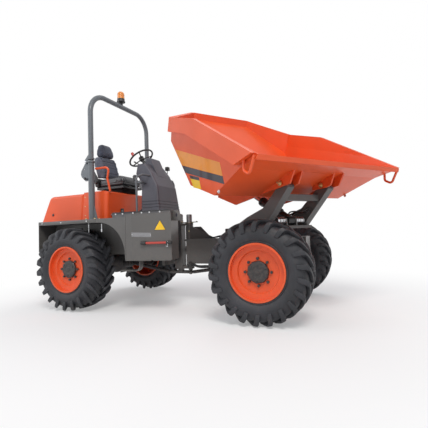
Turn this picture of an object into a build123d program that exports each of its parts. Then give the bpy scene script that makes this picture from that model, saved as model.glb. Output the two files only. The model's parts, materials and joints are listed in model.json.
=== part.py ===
from build123d import *
import math
import os

# Site dumper: an articulated, oscillating chassis that carries a swivelling and
# tipping skip in front of the driver. Millimetres; X forward, Y left, Z up.
# Every piece is drawn with the origin on the ground under the steering pin. The
# last step moves the whole machine so that the origin is under the middle of it.

# ---------------------------------------------------------------- running gear
WHEELBASE = 2568
TRACK = 1725
TYRE_DIAMETER = 1075
TYRE_SECTION = 400  # widest point of the tyre
TREAD_WIDTH = 364
TYRE_BULGE_RADIUS = 405  # where the tyre is widest
LUG_COUNT = 22  # on each side of the tread
RIM_SEAT_DIAMETER = 571  # where the tyre bead sits
RIM_WIDTH = 350  # over both flanges
RIM_FLANGE_DIAMETER = 590
RIM_THICKNESS = 8
DISC_DEPTH = 84  # disc face behind the outer flange
NUT_COUNT = 8
NUT_CIRCLE = 275
HUB_DIAMETER = 220
SPINDLE_DIAMETER = 90
AXLE_TUBE_DIAMETER = 160

# ---------------------------------------------------------------------- joints
OSCILLATION_HEIGHT = 700  # height of the lengthwise pivot
STEERING_PIN_DIAMETER = 60
SWIVEL_X = 1100  # turntable axis
SWIVEL_ANGLE = -36.3  # as parked, to the right
TIP_ANGLE = 18.2  # as parked, nose down
TIP_PIN_AHEAD = 775  # tipping pins ahead of the turntable axis
TIP_PIN_HEIGHT = 1441
TIP_PIN_DIAMETER = 40

# ------------------------------------------------------------------ front frame
BEAM_WIDTH = 300
BEAM_TOP = 865
BEAM_BOTTOM = 535
FRONT_FRAME_END = 1640
AXLE_PAD_HEIGHT = 695  # underside of both frames over their axles
SLEW_RADIUS = 330
SLEW_BOTTOM = 935
TURRET_PLATE_BOTTOM = 966
TURRET_PLATE_TOP = 1000
TURRET_PLATE_RADIUS = 430
ARM_INNER = 250  # arm faces from the middle
ARM_OUTER = 340
ARM_EYE_RADIUS = 34

# ------------------------------------------------------------------ tipping ram
RAM_BASE_AHEAD = 470
RAM_BASE_HEIGHT = 1062
RAM_EYE_A = -1086  # on the skip, behind and below the tipping pins
RAM_EYE_W = -288
BARREL_RADIUS = 55
BARREL_LENGTH = 560
ROD_RADIUS = 35
ROD_LENGTH = 700
SLIDE_CLEARANCE = 0.05

# ------------------------------------------------------------------------- skip
SKIP_WALL = 10
RAIL_PROUD = 45  # rim rail outside the walls
RAIL_HEIGHT = 185
FLOOR_W = -214
PLATE_INNER = 350  # long outer plates of the underframe
PLATE_OUTER = 370
LUG_INNER = 225  # short inner lugs beside the arms
LUG_OUTER = 245

# ----------------------------------------------------------------- rear chassis
BODY_HALF_WIDTH = 900
TANK_FRONT_HALF_WIDTH = 830
TANK_FRONT = 200
TANK_REAR = -420
TANK_FOLD = -320
LEFT_BOX_REAR = -600  # the left side is cut back for the driver's way up
LEFT_BOX_FRONT = -405
LEFT_HALF_WIDTH = 856
TANK_BOTTOM = 645
DECK_TOP = 1240
DECK_THICKNESS = 30
DECK_REAR = -620
FLOOR_BOTTOM = 1150  # lower floor between deck and seat
FLOOR_TOP = 1175
FENDER_TOP = 1180
FENDER_LIP = 50
FENDER_REAR = -1930
FENDER_INNER = 600
ARCH_RADIUS = 420
ARCH_WALL = 6  # plate between the wheel and the chassis
ARCH_BOTTOM = 700
REAR_LIP_BOTTOM = 760
HOOD_HALF_WIDTH = 570
HOOD_TOP = 1580
HOOD_FRONT = -1410
HOOD_REAR = -2290
SEAT_BOX_FRONT = -980
SEAT_BOX_TOP = 1592
TAIL_FRONT = -2000
CONSOLE_HALF_WIDTH = 300
WHEEL_RING_RADIUS = 188  # steering wheel
WHEEL_TUBE_RADIUS = 13
WHEEL_TILT = 33
WHEEL_CENTRE = (-800, 0, 2130)

# ------------------------------------------------------------- roll-over hoop
HOOP_X = -1165
HOOP_HALF_WIDTH = 670
HOOP_TOP = 3000
HOOP_JOINT = 2020
HOOP_RADIUS = 36
POST_RADIUS = 42
FOLD_PIN_X = -1245
FOLD_PIN_Z = 2000

# ---------------------------------------------------------------- steering ram
STEER_BASE = (-190, 270)  # pins in plan
STEER_EYE = (430, 270)
STEER_HEIGHT = 700
STEER_BARREL_RADIUS = 36
STEER_BARREL_LENGTH = 390
STEER_ROD_RADIUS = 20
STEER_ROD_LENGTH = 430

# ------------------------------------------------------------------ placements
TURRET = Pos(SWIVEL_X, 0, 0) * Rot(0, 0, SWIVEL_ANGLE)
SKIP = TURRET * Pos(TIP_PIN_AHEAD, 0, TIP_PIN_HEIGHT) * Rot(0, TIP_ANGLE, 0)
AXLE_HEIGHT = TYRE_DIAMETER / 2

# ----------------------------------------------------------- shared small sizes
OSCILLATION_SHAFT = 100
EAR_BOTTOM = (455, 490)  # height ranges of the yoke's ears
EAR_TOP = (1062, 1095)
PIN_CAP_TOP = 1218
HOUSING = (495, 1057)  # height range of the steering housing
HOUSING_RADIUS = 55
STEER_PIN_RADIUS = 16
RAM_PIN_RADIUS = 30
PROPSHAFT_HEIGHT = 405
PROPSHAFT_RADIUS = 24
TOW_BORE = 17
HOOD_BOTTOM = 1190
HOOD_WALL = 8
HOOD_CORNER = 100  # rounding of the hood's top corner at the back
BEACON_RADIUS = 56
BEACON_WALL = 66.5
CONSOLE_CORNER = 32
CONSOLE_GROOVE = 5
COWL_ROUNDING = 24


# =================================================================== helpers
def block(x, y, z):
    """Box from its ranges in X, Y and Z, each a pair (low, high)."""
    size = [high - low for low, high in (x, y, z)]
    middle = [(high + low) / 2 for low, high in (x, y, z)]
    return Pos(*middle) * Box(*size)


def side_cut(outline, y):
    """Plate with an outline of (x, z) points, from y[0] to y[1]."""
    face = make_face(Polyline(*[(px, y[0], pz) for px, pz in outline], close=True))
    return extrude(face, amount=y[1] - y[0], dir=(0, 1, 0))


def plan_cut(outline, z):
    """Plate with an outline of (x, y) points, from z[0] to z[1]."""
    face = make_face(Polyline(*[(px, py, z[0]) for px, py in outline], close=True))
    return extrude(face, amount=z[1] - z[0], dir=(0, 0, 1))


def front_cut(outline, x):
    """Plate with an outline of (y, z) points, from x[0] to x[1]."""
    face = make_face(Polyline(*[(x[0], py, pz) for py, pz in outline], close=True))
    return extrude(face, amount=x[1] - x[0], dir=(1, 0, 0))


def bar(start, end, radius):
    """Round bar between two points."""
    line = Vector(*end) - Vector(*start)
    return Plane(origin=start, z_dir=line) * Pos(0, 0, line.length / 2) * Cylinder(radius, line.length)


def cross_bar(x, z, y, radius):
    """Round bar across the machine, from y[0] to y[1]."""
    return bar((x, y[0], z), (x, y[1], z), radius)


def pipe(points, bend, radius):
    """Round tube along straight runs that are joined by arcs."""
    path = FilletPolyline(*points, radius=bend)
    return sweep(Plane(origin=path @ 0, z_dir=path % 0) * Circle(radius), path=path)


def turned(section):
    """Ring about the Y axis from a closed outline of (radius, y) points."""
    return revolve(make_face(Polyline(*section, close=True)), axis=Axis.Y)


def group(*shapes):
    """One compound from shapes that may hold several solids."""
    return Compound([solid for shape in shapes for solid in shape.solids()])


def both_sides(shape):
    """The shape and its mirror image on the other side of the machine."""
    return group(shape, mirror(shape, about=Plane.XZ))


# ==================================================================== wheels
# Lugs from the middle of the tread to the sidewall: inset from the tread's edge, drop
# of the lug's top and of the groove from the tread radius, turn round the axle ahead
# of the lug's foot, and half of the lug's width.
LUG_STATIONS = [
    (174, 0.0, 34, 18.0, 17),
    (88, 1.5, 35, 9.5, 18),
    (2, 13.0, 45, 2.5, 21),
    (-16, 94.0, 94, 0.0, 28),
]


def tyre_point(radius, y, degrees):
    """Point of the tyre at a radius, a distance across and an angle from the top."""
    turn = math.radians(degrees)
    return (radius * math.sin(turn), y, radius * math.cos(turn))


def lug_loops(side, offset):
    """For each lug station, the four corners of every lug on one side of the tread."""
    crown = TYRE_DIAMETER / 2
    loops = []
    for inset, drop, groove, turn, half in LUG_STATIONS:
        y = side * (TREAD_WIDTH / 2 - inset)
        spread = math.degrees(half / crown)
        heights = (crown - groove, crown - drop, crown - drop, crown - groove)
        turns = (turn - spread, turn - spread, turn + spread, turn + spread)
        loops.append([
            [tyre_point(height, y, offset + i * 360 / LUG_COUNT + angle) for height, angle in zip(heights, turns)]
            for i in range(LUG_COUNT)
        ])
    return loops


def tread_facets(loops):
    """Facets of the lugs, and of the grooves between them, on one side."""
    facets = list(loops[0])
    for inner, outer in zip(loops, loops[1:]):
        for i in range(LUG_COUNT):
            after = (i + 1) % LUG_COUNT
            for k in range(3):
                a, b, c, d = inner[i][k], inner[i][k + 1], outer[i][k + 1], outer[i][k]
                facets.append([a, b, c])
                if outer is not loops[-1] or k == 1:
                    facets.append([a, c, d])
            a, b, c, d = inner[i][3], inner[after][0], outer[after][0], outer[i][3]
            facets += [[a, b, c], [a, c, d]]
    return facets


def sidewall_facets(foot_loop, side, offset):
    """Facets from the feet of the lugs over the bulge to the bead, and the bead's edge."""
    bead = (RIM_SEAT_DIAMETER / 2 + 0.3) / math.cos(math.pi / LUG_COUNT)
    edge = side * (RIM_WIDTH / 2 - 10.3)
    turns = [offset + i * 360 / LUG_COUNT for i in range(LUG_COUNT)]
    bulge = [tyre_point(TYRE_BULGE_RADIUS, side * TYRE_SECTION / 2, turn) for turn in turns]
    rim_edge = [tyre_point(bead + 14, edge, turn) for turn in turns]
    seat = [tyre_point(bead, edge, turn) for turn in turns]
    facets = []
    for i in range(LUG_COUNT):
        j = (i + 1) % LUG_COUNT
        left, right, after = foot_loop[i][0], foot_loop[i][3], foot_loop[j][0]
        facets += [[left, right, bulge[i]], [right, after, bulge[i]], [after, bulge[j], bulge[i]]]
        facets += [[bulge[i], bulge[j], rim_edge[j]], [bulge[i], rim_edge[j], rim_edge[i]]]
        facets.append([rim_edge[i], rim_edge[j], seat[j], seat[i]])
    return facets, seat


def tyre():
    """Tyre with curved lugs that lean ahead towards the middle of the tread."""
    pitch = 360 / LUG_COUNT
    start = math.degrees(LUG_STATIONS[0][4] / (TYRE_DIAMETER / 2)) - LUG_STATIONS[0][3]
    facets = []
    crowns = []
    seats = []
    for side, offset in ((-1, start), (1, start + pitch / 2)):
        loops = lug_loops(side, offset)
        walls, seat = sidewall_facets(loops[-1], side, offset)
        facets += tread_facets(loops) + walls
        crowns.append([point for lug in loops[0] for point in (lug[0], lug[3])])
        seats.append(seat)
    for near, far in (crowns, seats):
        for i, (a, c) in enumerate(zip(near, far)):
            b, d = near[(i + 1) % len(near)], far[(i + 1) % len(near)]
            facets += [[a, b, c], [b, d, c]]
    return Solid(Shell([make_face(Polyline(*facet, close=True)) for facet in facets]))


def rim():
    """Barrel with two flanges and a stepped disc; the outer side is -Y."""
    seat = RIM_SEAT_DIAMETER / 2
    inside = seat - RIM_THICKNESS
    flange = RIM_FLANGE_DIAMETER / 2 + 2
    half = RIM_WIDTH / 2
    disc = -half + DISC_DEPTH
    step = disc - 24
    barrel = turned([
        (inside, -half), (flange, -half), (flange, -half + 10), (seat, -half + 10),
        (seat, half - 10), (flange, half - 10), (flange, half), (inside, half),
    ])
    plate = turned([
        (HUB_DIAMETER / 2 + 0.5, disc), (212, disc), (220, step), (inside + 1, step - 8),
        (inside + 1, step + 6), (226, step + 12), (218, disc + 12), (HUB_DIAMETER / 2 + 0.5, disc + 12),
    ])
    return barrel + plate


def hub():
    """Drive hub with its flange behind the disc and the wheel nuts in front."""
    disc = -RIM_WIDTH / 2 + DISC_DEPTH
    front = disc - 32
    bore = SPINDLE_DIAMETER / 2 + SLIDE_CLEARANCE
    back = 60
    body = turned([
        (0, front), (HUB_DIAMETER / 2 - 12, front), (HUB_DIAMETER / 2, front + 12),
        (HUB_DIAMETER / 2, disc + 12), (165, disc + 12), (165, disc + 32), (140, disc + 32),
        (140, back), (bore, back), (bore, -40), (0, -40),
    ])
    nut = Plane(origin=(NUT_CIRCLE / 2, disc, 0), z_dir=(0, -1, 0)) * extrude(RegularPolygon(15, 6), amount=22)
    nuts = [Rot(0, i * 360 / NUT_COUNT, 0) * nut for i in range(NUT_COUNT)]
    return group(body, *nuts)


def axle():
    """Axle housing with its bowl, pads and spindles; the input faces +X."""
    end = TRACK / 2 - 65
    tube = AXLE_TUBE_DIAMETER / 2
    outline = [
        (0, -end), (110, -end), (110, -end + 50), (tube, -end + 95), (tube + 5, -210), (120, -130),
        (150, -60), (150, 60), (120, 130), (tube + 5, 210), (tube, end - 95), (110, end - 50), (110, end), (0, end),
    ]
    housing = turned(outline)
    housing += bar((0, 0, 0), (260, 0, 0), 70)
    for side in (-1, 1):
        housing += block((-90, 90), (side * 250 - 45, side * 250 + 45), (0, AXLE_PAD_HEIGHT - TYRE_DIAMETER / 2))
        housing += cross_bar(0, 0, (side * end, side * (TRACK / 2 + 38)), SPINDLE_DIAMETER / 2)
    return housing


# =============================================================== rear chassis
def rear_frame():
    """Two long rails, cross members and the bearing of the lengthwise pivot."""
    rail = block((-2000, -260), (190, 270), (AXLE_PAD_HEIGHT, 800))
    frame = rail + mirror(rail, about=Plane.XZ)
    for x in (-2000, -1640, -960):
        frame += block((x, x + 60), (-190, 190), (680, 790))
    deck_bottom = DECK_TOP - DECK_THICKNESS
    frame += block((-300, -260), (-270, 270), (520, deck_bottom))
    frame += block((-300, -260), (-500, 270), (790, deck_bottom))
    frame += block((-560, -520), (-500, 500), (790, deck_bottom))
    under_fender = FENDER_TOP - FENDER_LIP
    for x in (-1960, -1215):
        frame += block((x, x + 60), (-FENDER_INNER, FENDER_INNER), (1070, under_fender))
        frame += block((x, x + 60), (-FENDER_INNER + 10, FENDER_INNER - 10), (1070, FLOOR_BOTTOM))
        for side in (-1, 1):
            frame += block((x, x + 60), (side * 230 - 40, side * 230 + 40), (790, 1080))
    bearing = bar((-520, 0, OSCILLATION_HEIGHT), (-260, 0, OSCILLATION_HEIGHT), 85)
    frame += bearing + block((-520, -260), (-190, 190), (OSCILLATION_HEIGHT - 20, OSCILLATION_HEIGHT + 20))
    bore = bar((-530, 0, OSCILLATION_HEIGHT), (-250, 0, OSCILLATION_HEIGHT), OSCILLATION_SHAFT / 2 + SLIDE_CLEARANCE)
    return frame - bore


def tank():
    """Right-hand side box, folded in towards its front."""
    outline = [
        (TANK_REAR, -500), (TANK_REAR, -BODY_HALF_WIDTH), (TANK_FOLD, -BODY_HALF_WIDTH),
        (TANK_FRONT, -TANK_FRONT_HALF_WIDTH), (TANK_FRONT - 60, -560), (-180, -500),
    ]
    return plan_cut(outline, (TANK_BOTTOM, DECK_TOP - DECK_THICKNESS))


def left_box():
    """Small left-hand box, folded in sharply to leave room for the step."""
    outline = [
        (LEFT_BOX_REAR, 500), (LEFT_BOX_REAR, LEFT_HALF_WIDTH), (LEFT_BOX_REAR + 20, LEFT_HALF_WIDTH),
        (LEFT_BOX_FRONT, 530), (LEFT_BOX_FRONT, 500),
    ]
    return plan_cut(outline, (TANK_BOTTOM, DECK_TOP - DECK_THICKNESS))


def fender(front):
    """Right-hand fender down to the side box behind X = front, with its inner arch wall."""
    top = FENDER_TOP
    under = top - FENDER_LIP
    leg = front - 8
    centre_x = leg - ARCH_RADIUS
    centre_z = under - ARCH_RADIUS
    bend = math.sqrt(0.5) * ARCH_RADIUS
    edge = [
        Line((FENDER_REAR, 0, top), (front, 0, top)),
        Line((front, 0, top), (front, 0, TANK_BOTTOM)),
        Line((front, 0, TANK_BOTTOM), (leg, 0, TANK_BOTTOM)),
        Line((leg, 0, TANK_BOTTOM), (leg, 0, centre_z)),
        ThreePointArc((leg, 0, centre_z), (centre_x + bend, 0, centre_z + bend), (centre_x, 0, under)),
        Line((centre_x, 0, under), (FENDER_REAR, 0, under)),
        Line((FENDER_REAR, 0, under), (FENDER_REAR, 0, top)),
    ]
    sheet = extrude(make_face(edge), amount=BODY_HALF_WIDTH - FENDER_INNER, dir=(0, 1, 0))
    shape = Pos(0, -BODY_HALF_WIDTH, 0) * sheet
    shape += block((FENDER_REAR, front), (-FENDER_INNER - ARCH_WALL, -FENDER_INNER), (ARCH_BOTTOM, top))
    rear_lip = block((FENDER_REAR - ARCH_WALL, FENDER_REAR), (-BODY_HALF_WIDTH, -FENDER_INNER), (REAR_LIP_BOTTOM, top))
    return shape + rear_lip


def platform_deck():
    """Driver's platform over the side boxes and the lower floor behind it."""
    outline = [
        (DECK_REAR, -BODY_HALF_WIDTH + 6), (TANK_FOLD, -BODY_HALF_WIDTH + 6),
        (TANK_FRONT - 6, -TANK_FRONT_HALF_WIDTH), (TANK_FRONT - 60, -566), (-180, -470), (-240, -300),
        (-270, 300), (LEFT_BOX_FRONT, 530), (LEFT_BOX_REAR + 20, LEFT_HALF_WIDTH), (DECK_REAR, LEFT_HALF_WIDTH),
    ]
    deck = plan_cut(outline, (DECK_TOP - DECK_THICKNESS, DECK_TOP))
    deck += block((DECK_REAR, TANK_REAR - 1), (-BODY_HALF_WIDTH + 6, -FENDER_INNER), (FENDER_TOP, DECK_TOP - 1))
    deck += block((HOOD_FRONT - 30, DECK_REAR + 20), (-590, 590), (FLOOR_BOTTOM, FLOOR_TOP))
    deck += block((DECK_REAR, DECK_REAR + 20), (-590, 590), (FLOOR_BOTTOM, DECK_TOP - 1))
    return deck


def step(x, y):
    """Tread plate under a side box, on one flat bar that bends down at its front end."""
    low, thick, bend, width = 505, 10, 80, 70
    front = x[1]
    half_turn = math.sqrt(0.5)
    edge = [
        Line((x[0] + 20, 0, low), (front - bend, 0, low)),
        ThreePointArc(
            (front - bend, 0, low), (front - bend + bend * half_turn, 0, low + bend - bend * half_turn),
            (front, 0, low + bend),
        ),
        Line((front, 0, low + bend), (front, 0, TANK_BOTTOM)),
        Line((front, 0, TANK_BOTTOM), (front - thick, 0, TANK_BOTTOM)),
        Line((front - thick, 0, TANK_BOTTOM), (front - thick, 0, low + bend)),
        ThreePointArc(
            (front - thick, 0, low + bend),
            (front - bend + (bend - thick) * half_turn, 0, low + bend - (bend - thick) * half_turn),
            (front - bend, 0, low + thick),
        ),
        Line((front - bend, 0, low + thick), (x[0] + 20, 0, low + thick)),
        Line((x[0] + 20, 0, low + thick), (x[0] + 20, 0, low)),
    ]
    middle = (y[0] + y[1]) / 2
    hanger = Pos(0, middle - width / 2, 0) * extrude(make_face(edge), amount=width, dir=(0, 1, 0))
    pad = block((front - 45, front), (middle - width / 2, middle + width / 2), (TANK_BOTTOM - 8, TANK_BOTTOM))
    tread = block((x[0], front - bend), y, (low + thick, low + thick + 8))
    tread += block((x[0], x[0] + 6), y, (low - 10, low + thick + 8))
    return hanger + pad + tread


def engine_block():
    """Plain block at the engine's size and place."""
    return block((-1890, -1470), (-260, 260), (800, 1440))


def tail_panel():
    """Counterweight that closes the chassis at the back."""
    shape = block((HOOD_REAR + 20, TAIL_FRONT), (-FENDER_INNER, FENDER_INNER), (620, 1185))
    return fillet(shape.edges().filter_by(Axis.Z).sort_by(Axis.X)[:2], 70)


def tow_lug():
    """Lug at the back with a vertical hole for a tow pin."""
    shape = block((-2180, -2030), (-60, 60), (575, 620))
    shape += Pos(-2180, 0, 597.5) * Cylinder(60, 45)
    return shape - Pos(-2180, 0, 597.5) * Cylinder(TOW_BORE, 60)


def hood_side(inset):
    """Side face of the engine hood, moved in by inset, round at its top rear corner."""
    top = HOOD_TOP - inset
    corner = HOOD_REAR + 195 + inset
    outline = [(HOOD_FRONT - 40, HOOD_BOTTOM), (HOOD_FRONT, top), (corner, top), (HOOD_REAR + inset, HOOD_BOTTOM)]
    face = make_face(Polyline(*[(x, 0, z) for x, z in outline], close=True))
    rounded = face.vertices().sort_by(Axis.Z)[-2:].sort_by(Axis.X)[0]
    return fillet(rounded, HOOD_CORNER - inset)


def engine_hood():
    """Hollow hood, open below and in front, with rounded long edges and hinge knuckles."""
    forms = []
    for inset in (0, HOOD_WALL):
        half = HOOD_HALF_WIDTH - inset
        form = Pos(0, -half, 0) * extrude(hood_side(inset), amount=2 * half, dir=(0, 1, 0))
        long_edges = form.edges().filter_by(lambda e: e.center().Z > 1300 and abs(e.center().Y) > 500)
        forms.append(fillet(long_edges, 40 - inset))
    outer, inner = forms
    inner += side_cut(
        [(HOOD_FRONT - 60, HOOD_BOTTOM - 20), (HOOD_FRONT + 20, HOOD_BOTTOM - 20),
         (HOOD_FRONT + 20, HOOD_TOP - 60), (HOOD_FRONT - 60, HOOD_TOP - 60)],
        (-HOOD_HALF_WIDTH + 60, HOOD_HALF_WIDTH - 60),
    )
    return outer - inner


def seat_box():
    """Box under the seat, with rounded front corners."""
    gap = 6
    outline = [
        (HOOD_FRONT - 40 + gap, HOOD_BOTTOM), (HOOD_FRONT + gap, SEAT_BOX_TOP), (-1030, SEAT_BOX_TOP),
        (SEAT_BOX_FRONT, SEAT_BOX_TOP - 22), (SEAT_BOX_FRONT - 20, FLOOR_TOP), (HOOD_FRONT - 40 + gap, FLOOR_TOP),
    ]
    shape = side_cut(outline, (-HOOD_HALF_WIDTH, HOOD_HALF_WIDTH))
    corners = shape.edges().filter_by(lambda e: e.center().X > -1010 and abs(e.center().Y) > 560 and e.length > 200)
    return fillet(corners, 50)


def seat_suspension():
    """Bellows and frame under the cushion."""
    shape = block((-1395, -1040), (-180, 180), (SEAT_BOX_TOP, 1668))
    shape += block((-1480, -975), (-225, 225), (1668, 1700))
    return shape + block((-1480, -1461), (-225, 225), (1668, 1848))


def seat_cushion():
    """Seat cushion with a raised front roll."""
    outline = [(-1460, 1700), (-975, 1700), (-945, 1760), (-965, 1840), (-1060, 1868), (-1380, 1835), (-1460, 1835)]
    shape = side_cut(outline, (-240, 240))
    corners = shape.edges().filter_by(lambda e: e.center().X > -960 and abs(e.center().Y) > 230)
    shape = fillet(corners, 30)
    return fillet(shape.edges().filter_by(Axis.Y), 18)


def seat_backrest():
    """Backrest that narrows to its round shoulders, and its headrest."""
    side = [(-1480, 1850), (-1385, 1842), (-1405, 1960), (-1480, 2225), (-1585, 2235), (-1590, 2180), (-1530, 1950)]
    front = front_cut([(-235, 1830), (235, 1830), (245, 2020), (185, 2240), (-185, 2240), (-245, 2020)], (-1700, -1300))
    shoulders = front.edges().filter_by(lambda e: e.center().Z > 2230 and abs(e.center().Y) > 150)
    back = side_cut(side, (-250, 250)) & fillet(shoulders, 60)
    head_side = [(-1490, 2240), (-1490, 2400), (-1520, 2450), (-1590, 2450), (-1615, 2400), (-1595, 2240)]
    head_front = front_cut([(-150, 2230), (150, 2230), (112, 2450), (-112, 2450)], (-1700, -1400))
    corners = head_front.edges().filter_by(lambda e: e.center().Z > 2440 and abs(e.center().Y) > 90)
    head = side_cut(head_side, (-160, 160)) & fillet(corners, 45)
    posts = [bar((-1540, y, 2200), (-1550, y, 2260), 8) for y in (-60, 60)]
    return back + head + posts[0] + posts[1]


# Sections of the console trunk: height, rear and front X, half width.
TRUNK_SECTIONS = [
    (DECK_TOP + 1, -620, -300, CONSOLE_HALF_WIDTH),
    (1640, -625, -350, CONSOLE_HALF_WIDTH - 35),
    (1735, -645, -400, CONSOLE_HALF_WIDTH - 38),
    (1840, -725, -452, CONSOLE_HALF_WIDTH - 40),
    (1930, -706, -520, CONSOLE_HALF_WIDTH - 43),
    (1978, -695, -556, CONSOLE_HALF_WIDTH - 45),
]


def console_trunk(inset):
    """Tapered trunk and dash of the console, moved in by inset, with rounded corners."""
    sections = []
    for height, rear, front, half in TRUNK_SECTIONS:
        outline = RectangleRounded(front - rear - 2 * inset, 2 * (half - inset), CONSOLE_CORNER - inset)
        sections.append(Pos((rear + front) / 2, 0, height) * outline)
    return loft(sections, ruled=True)


def console():
    """Dash console with its rounded cowl and three grooves low on the trunk."""
    core = console_trunk(CONSOLE_GROOVE)
    trunk = console_trunk(0)
    for height in (1330, 1372, 1414):
        trunk -= block((-700, -200), (-400, 400), (height, height + 9)) - core
    cowl = side_cut([(-700, 1940), (-612, 2098), (-552, 2082), (-430, 1800), (-560, 1800)], (-125, 125))
    top_edges = cowl.edges().filter_by(lambda e: 1960 < e.center().Z < 2150)
    return trunk + fillet(top_edges, COWL_ROUNDING)


def steering_wheel():
    """Ring, three spokes, spinner knob and the column into the dash."""
    wheel = Pos(0, 0, -20) * Cylinder(38, 50)
    for i in range(3):
        turn = math.radians(60 + 120 * i)
        tip = (WHEEL_RING_RADIUS * math.cos(turn), WHEEL_RING_RADIUS * math.sin(turn), 0)
        wheel += bar((0, 0, -20), tip, 9)
    wheel += Pos(0, -WHEEL_RING_RADIUS, 30) * Cylinder(19, 50)
    wheel += bar((0, 0, -120), (0, 0, -20), 24)
    ring = revolve(Pos(WHEEL_RING_RADIUS, 0) * Circle(WHEEL_TUBE_RADIUS), axis=Axis.Y)
    wheel += Rot(90, 0, 0) * ring
    return Pos(*WHEEL_CENTRE) * Rot(0, -WHEEL_TILT, 0) * wheel - console()


def grab_rail():
    """Right-hand rail beside the seat, from the post to the seat box."""
    return pipe(
        [(HOOP_X + 30, -620, 1905), (-930, -580, 1915), (-975, -565, 1760), (-960, -530, 1585)], 45, 15
    )


def handrail():
    """Right-hand rail from the platform up to the console."""
    rail = pipe([(-530, -500, DECK_TOP), (-530, -500, 1745), (-500, -400, 1790), (-480, -262, 1790)], 40, 14)
    grip = pipe([(-690, -262, 1800), (-690, -345, 1800), (-640, -360, 1690), (-560, -345, 1690), (-560, -262, 1690)], 25, 16)
    return rail + grip


def rops_post():
    """Right-hand lower post with its foot, gusset and hinge bracket."""
    y = -HOOP_HALF_WIDTH
    post = bar((HOOP_X, y, FENDER_TOP + 12), (HOOP_X, y, HOOP_JOINT - 5), POST_RADIUS)
    post += block((HOOP_X - 85, HOOP_X + 105), (y - 60, y + 60), (FENDER_TOP, FENDER_TOP + 14))
    gusset = [(HOOP_X + 30, FENDER_TOP + 10), (HOOP_X + 100, FENDER_TOP + 10), (HOOP_X + 35, FENDER_TOP + 240)]
    post += side_cut(gusset, (y - 5, y + 5))
    bracket = [
        (HOOP_X - 30, 1735), (-1275, 1735), (-1348, 1800), (-1362, 1838), (-1352, 1885), (FOLD_PIN_X - 22, FOLD_PIN_Z + 6),
        (FOLD_PIN_X, FOLD_PIN_Z + 22), (HOOP_X - 30, FOLD_PIN_Z + 12),
    ]
    post += side_cut(bracket, (y + 2, y + 14)) - cross_bar(-1302, 1904, (y, y + 20), 9)
    post += cross_bar(-1250, 1765, (y - 16, y + 8), 14)
    post += cross_bar(FOLD_PIN_X, FOLD_PIN_Z, (y - 22, y + 14), 12)
    return post


def rops_hoop():
    """Folding upper hoop with a hinge ear on each leg."""
    half = HOOP_HALF_WIDTH
    foot = HOOP_JOINT + 5
    shape = pipe([(HOOP_X, -half, foot), (HOOP_X, -half, HOOP_TOP), (HOOP_X, half, HOOP_TOP), (HOOP_X, half, foot)], 290, HOOP_RADIUS)
    ear = [
        (HOOP_X, foot + 10), (HOOP_X, foot + 120), (FOLD_PIN_X - 20, FOLD_PIN_Z + 30), (FOLD_PIN_X - 22, FOLD_PIN_Z - 10),
        (FOLD_PIN_X, FOLD_PIN_Z - 22), (FOLD_PIN_X + 22, FOLD_PIN_Z - 10), (HOOP_X - 46, foot + 10),
    ]
    for side in (-1, 1):
        plate = side_cut(ear, sorted((side * (half + 5), side * (half + 17))))
        plate -= cross_bar(FOLD_PIN_X, FOLD_PIN_Z, (side * half, side * (half + 30)), 12 + SLIDE_CLEARANCE)
        shape += plate
    return shape


def beacon_base():
    """Bracket and dark base of the beacon on top of the hoop."""
    shape = block((HOOP_X - 12, HOOP_X + 12), (-30, 30), (HOOP_TOP + HOOP_RADIUS - 3, HOOP_TOP + 75))
    shape += Pos(HOOP_X, 0, HOOP_TOP + 80) * Cylinder(BEACON_RADIUS + 10, 12)
    shape += Pos(HOOP_X, 0, HOOP_TOP + 106) * Cylinder(BEACON_RADIUS + 2, 44)
    return shape - cross_bar(HOOP_X, HOOP_TOP, (-60, 60), HOOP_RADIUS + SLIDE_CLEARANCE)


def beacon_lens():
    """Domed lens of the beacon."""
    floor = HOOP_TOP + 128.2
    shoulder = floor + BEACON_WALL
    radius = BEACON_RADIUS
    bend = radius * math.sqrt(0.5)
    edge = [
        Line((0, 0, floor), (radius, 0, floor)),
        Line((radius, 0, floor), (radius, 0, shoulder)),
        ThreePointArc((radius, 0, shoulder), (bend, 0, shoulder + bend), (0, 0, shoulder + radius)),
        Line((0, 0, shoulder + radius), (0, 0, floor)),
    ]
    return Pos(HOOP_X, 0, 0) * revolve(make_face(edge), axis=Axis.Z)


def lock_bar():
    """Red bar that locks the chassis straight, stowed on the right-hand box."""
    slope = (BODY_HALF_WIDTH - TANK_FRONT_HALF_WIDTH) / (TANK_FRONT - TANK_FOLD)
    ends = [(x, -BODY_HALF_WIDTH + (x - TANK_FOLD) * slope - 22, 852) for x in (-150, 180)]
    shape = bar(*ends, 14)
    for x, y, z in ends:
        shape += bar((x, y, z), (x, y + 19, z), 12)
    return shape


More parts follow.
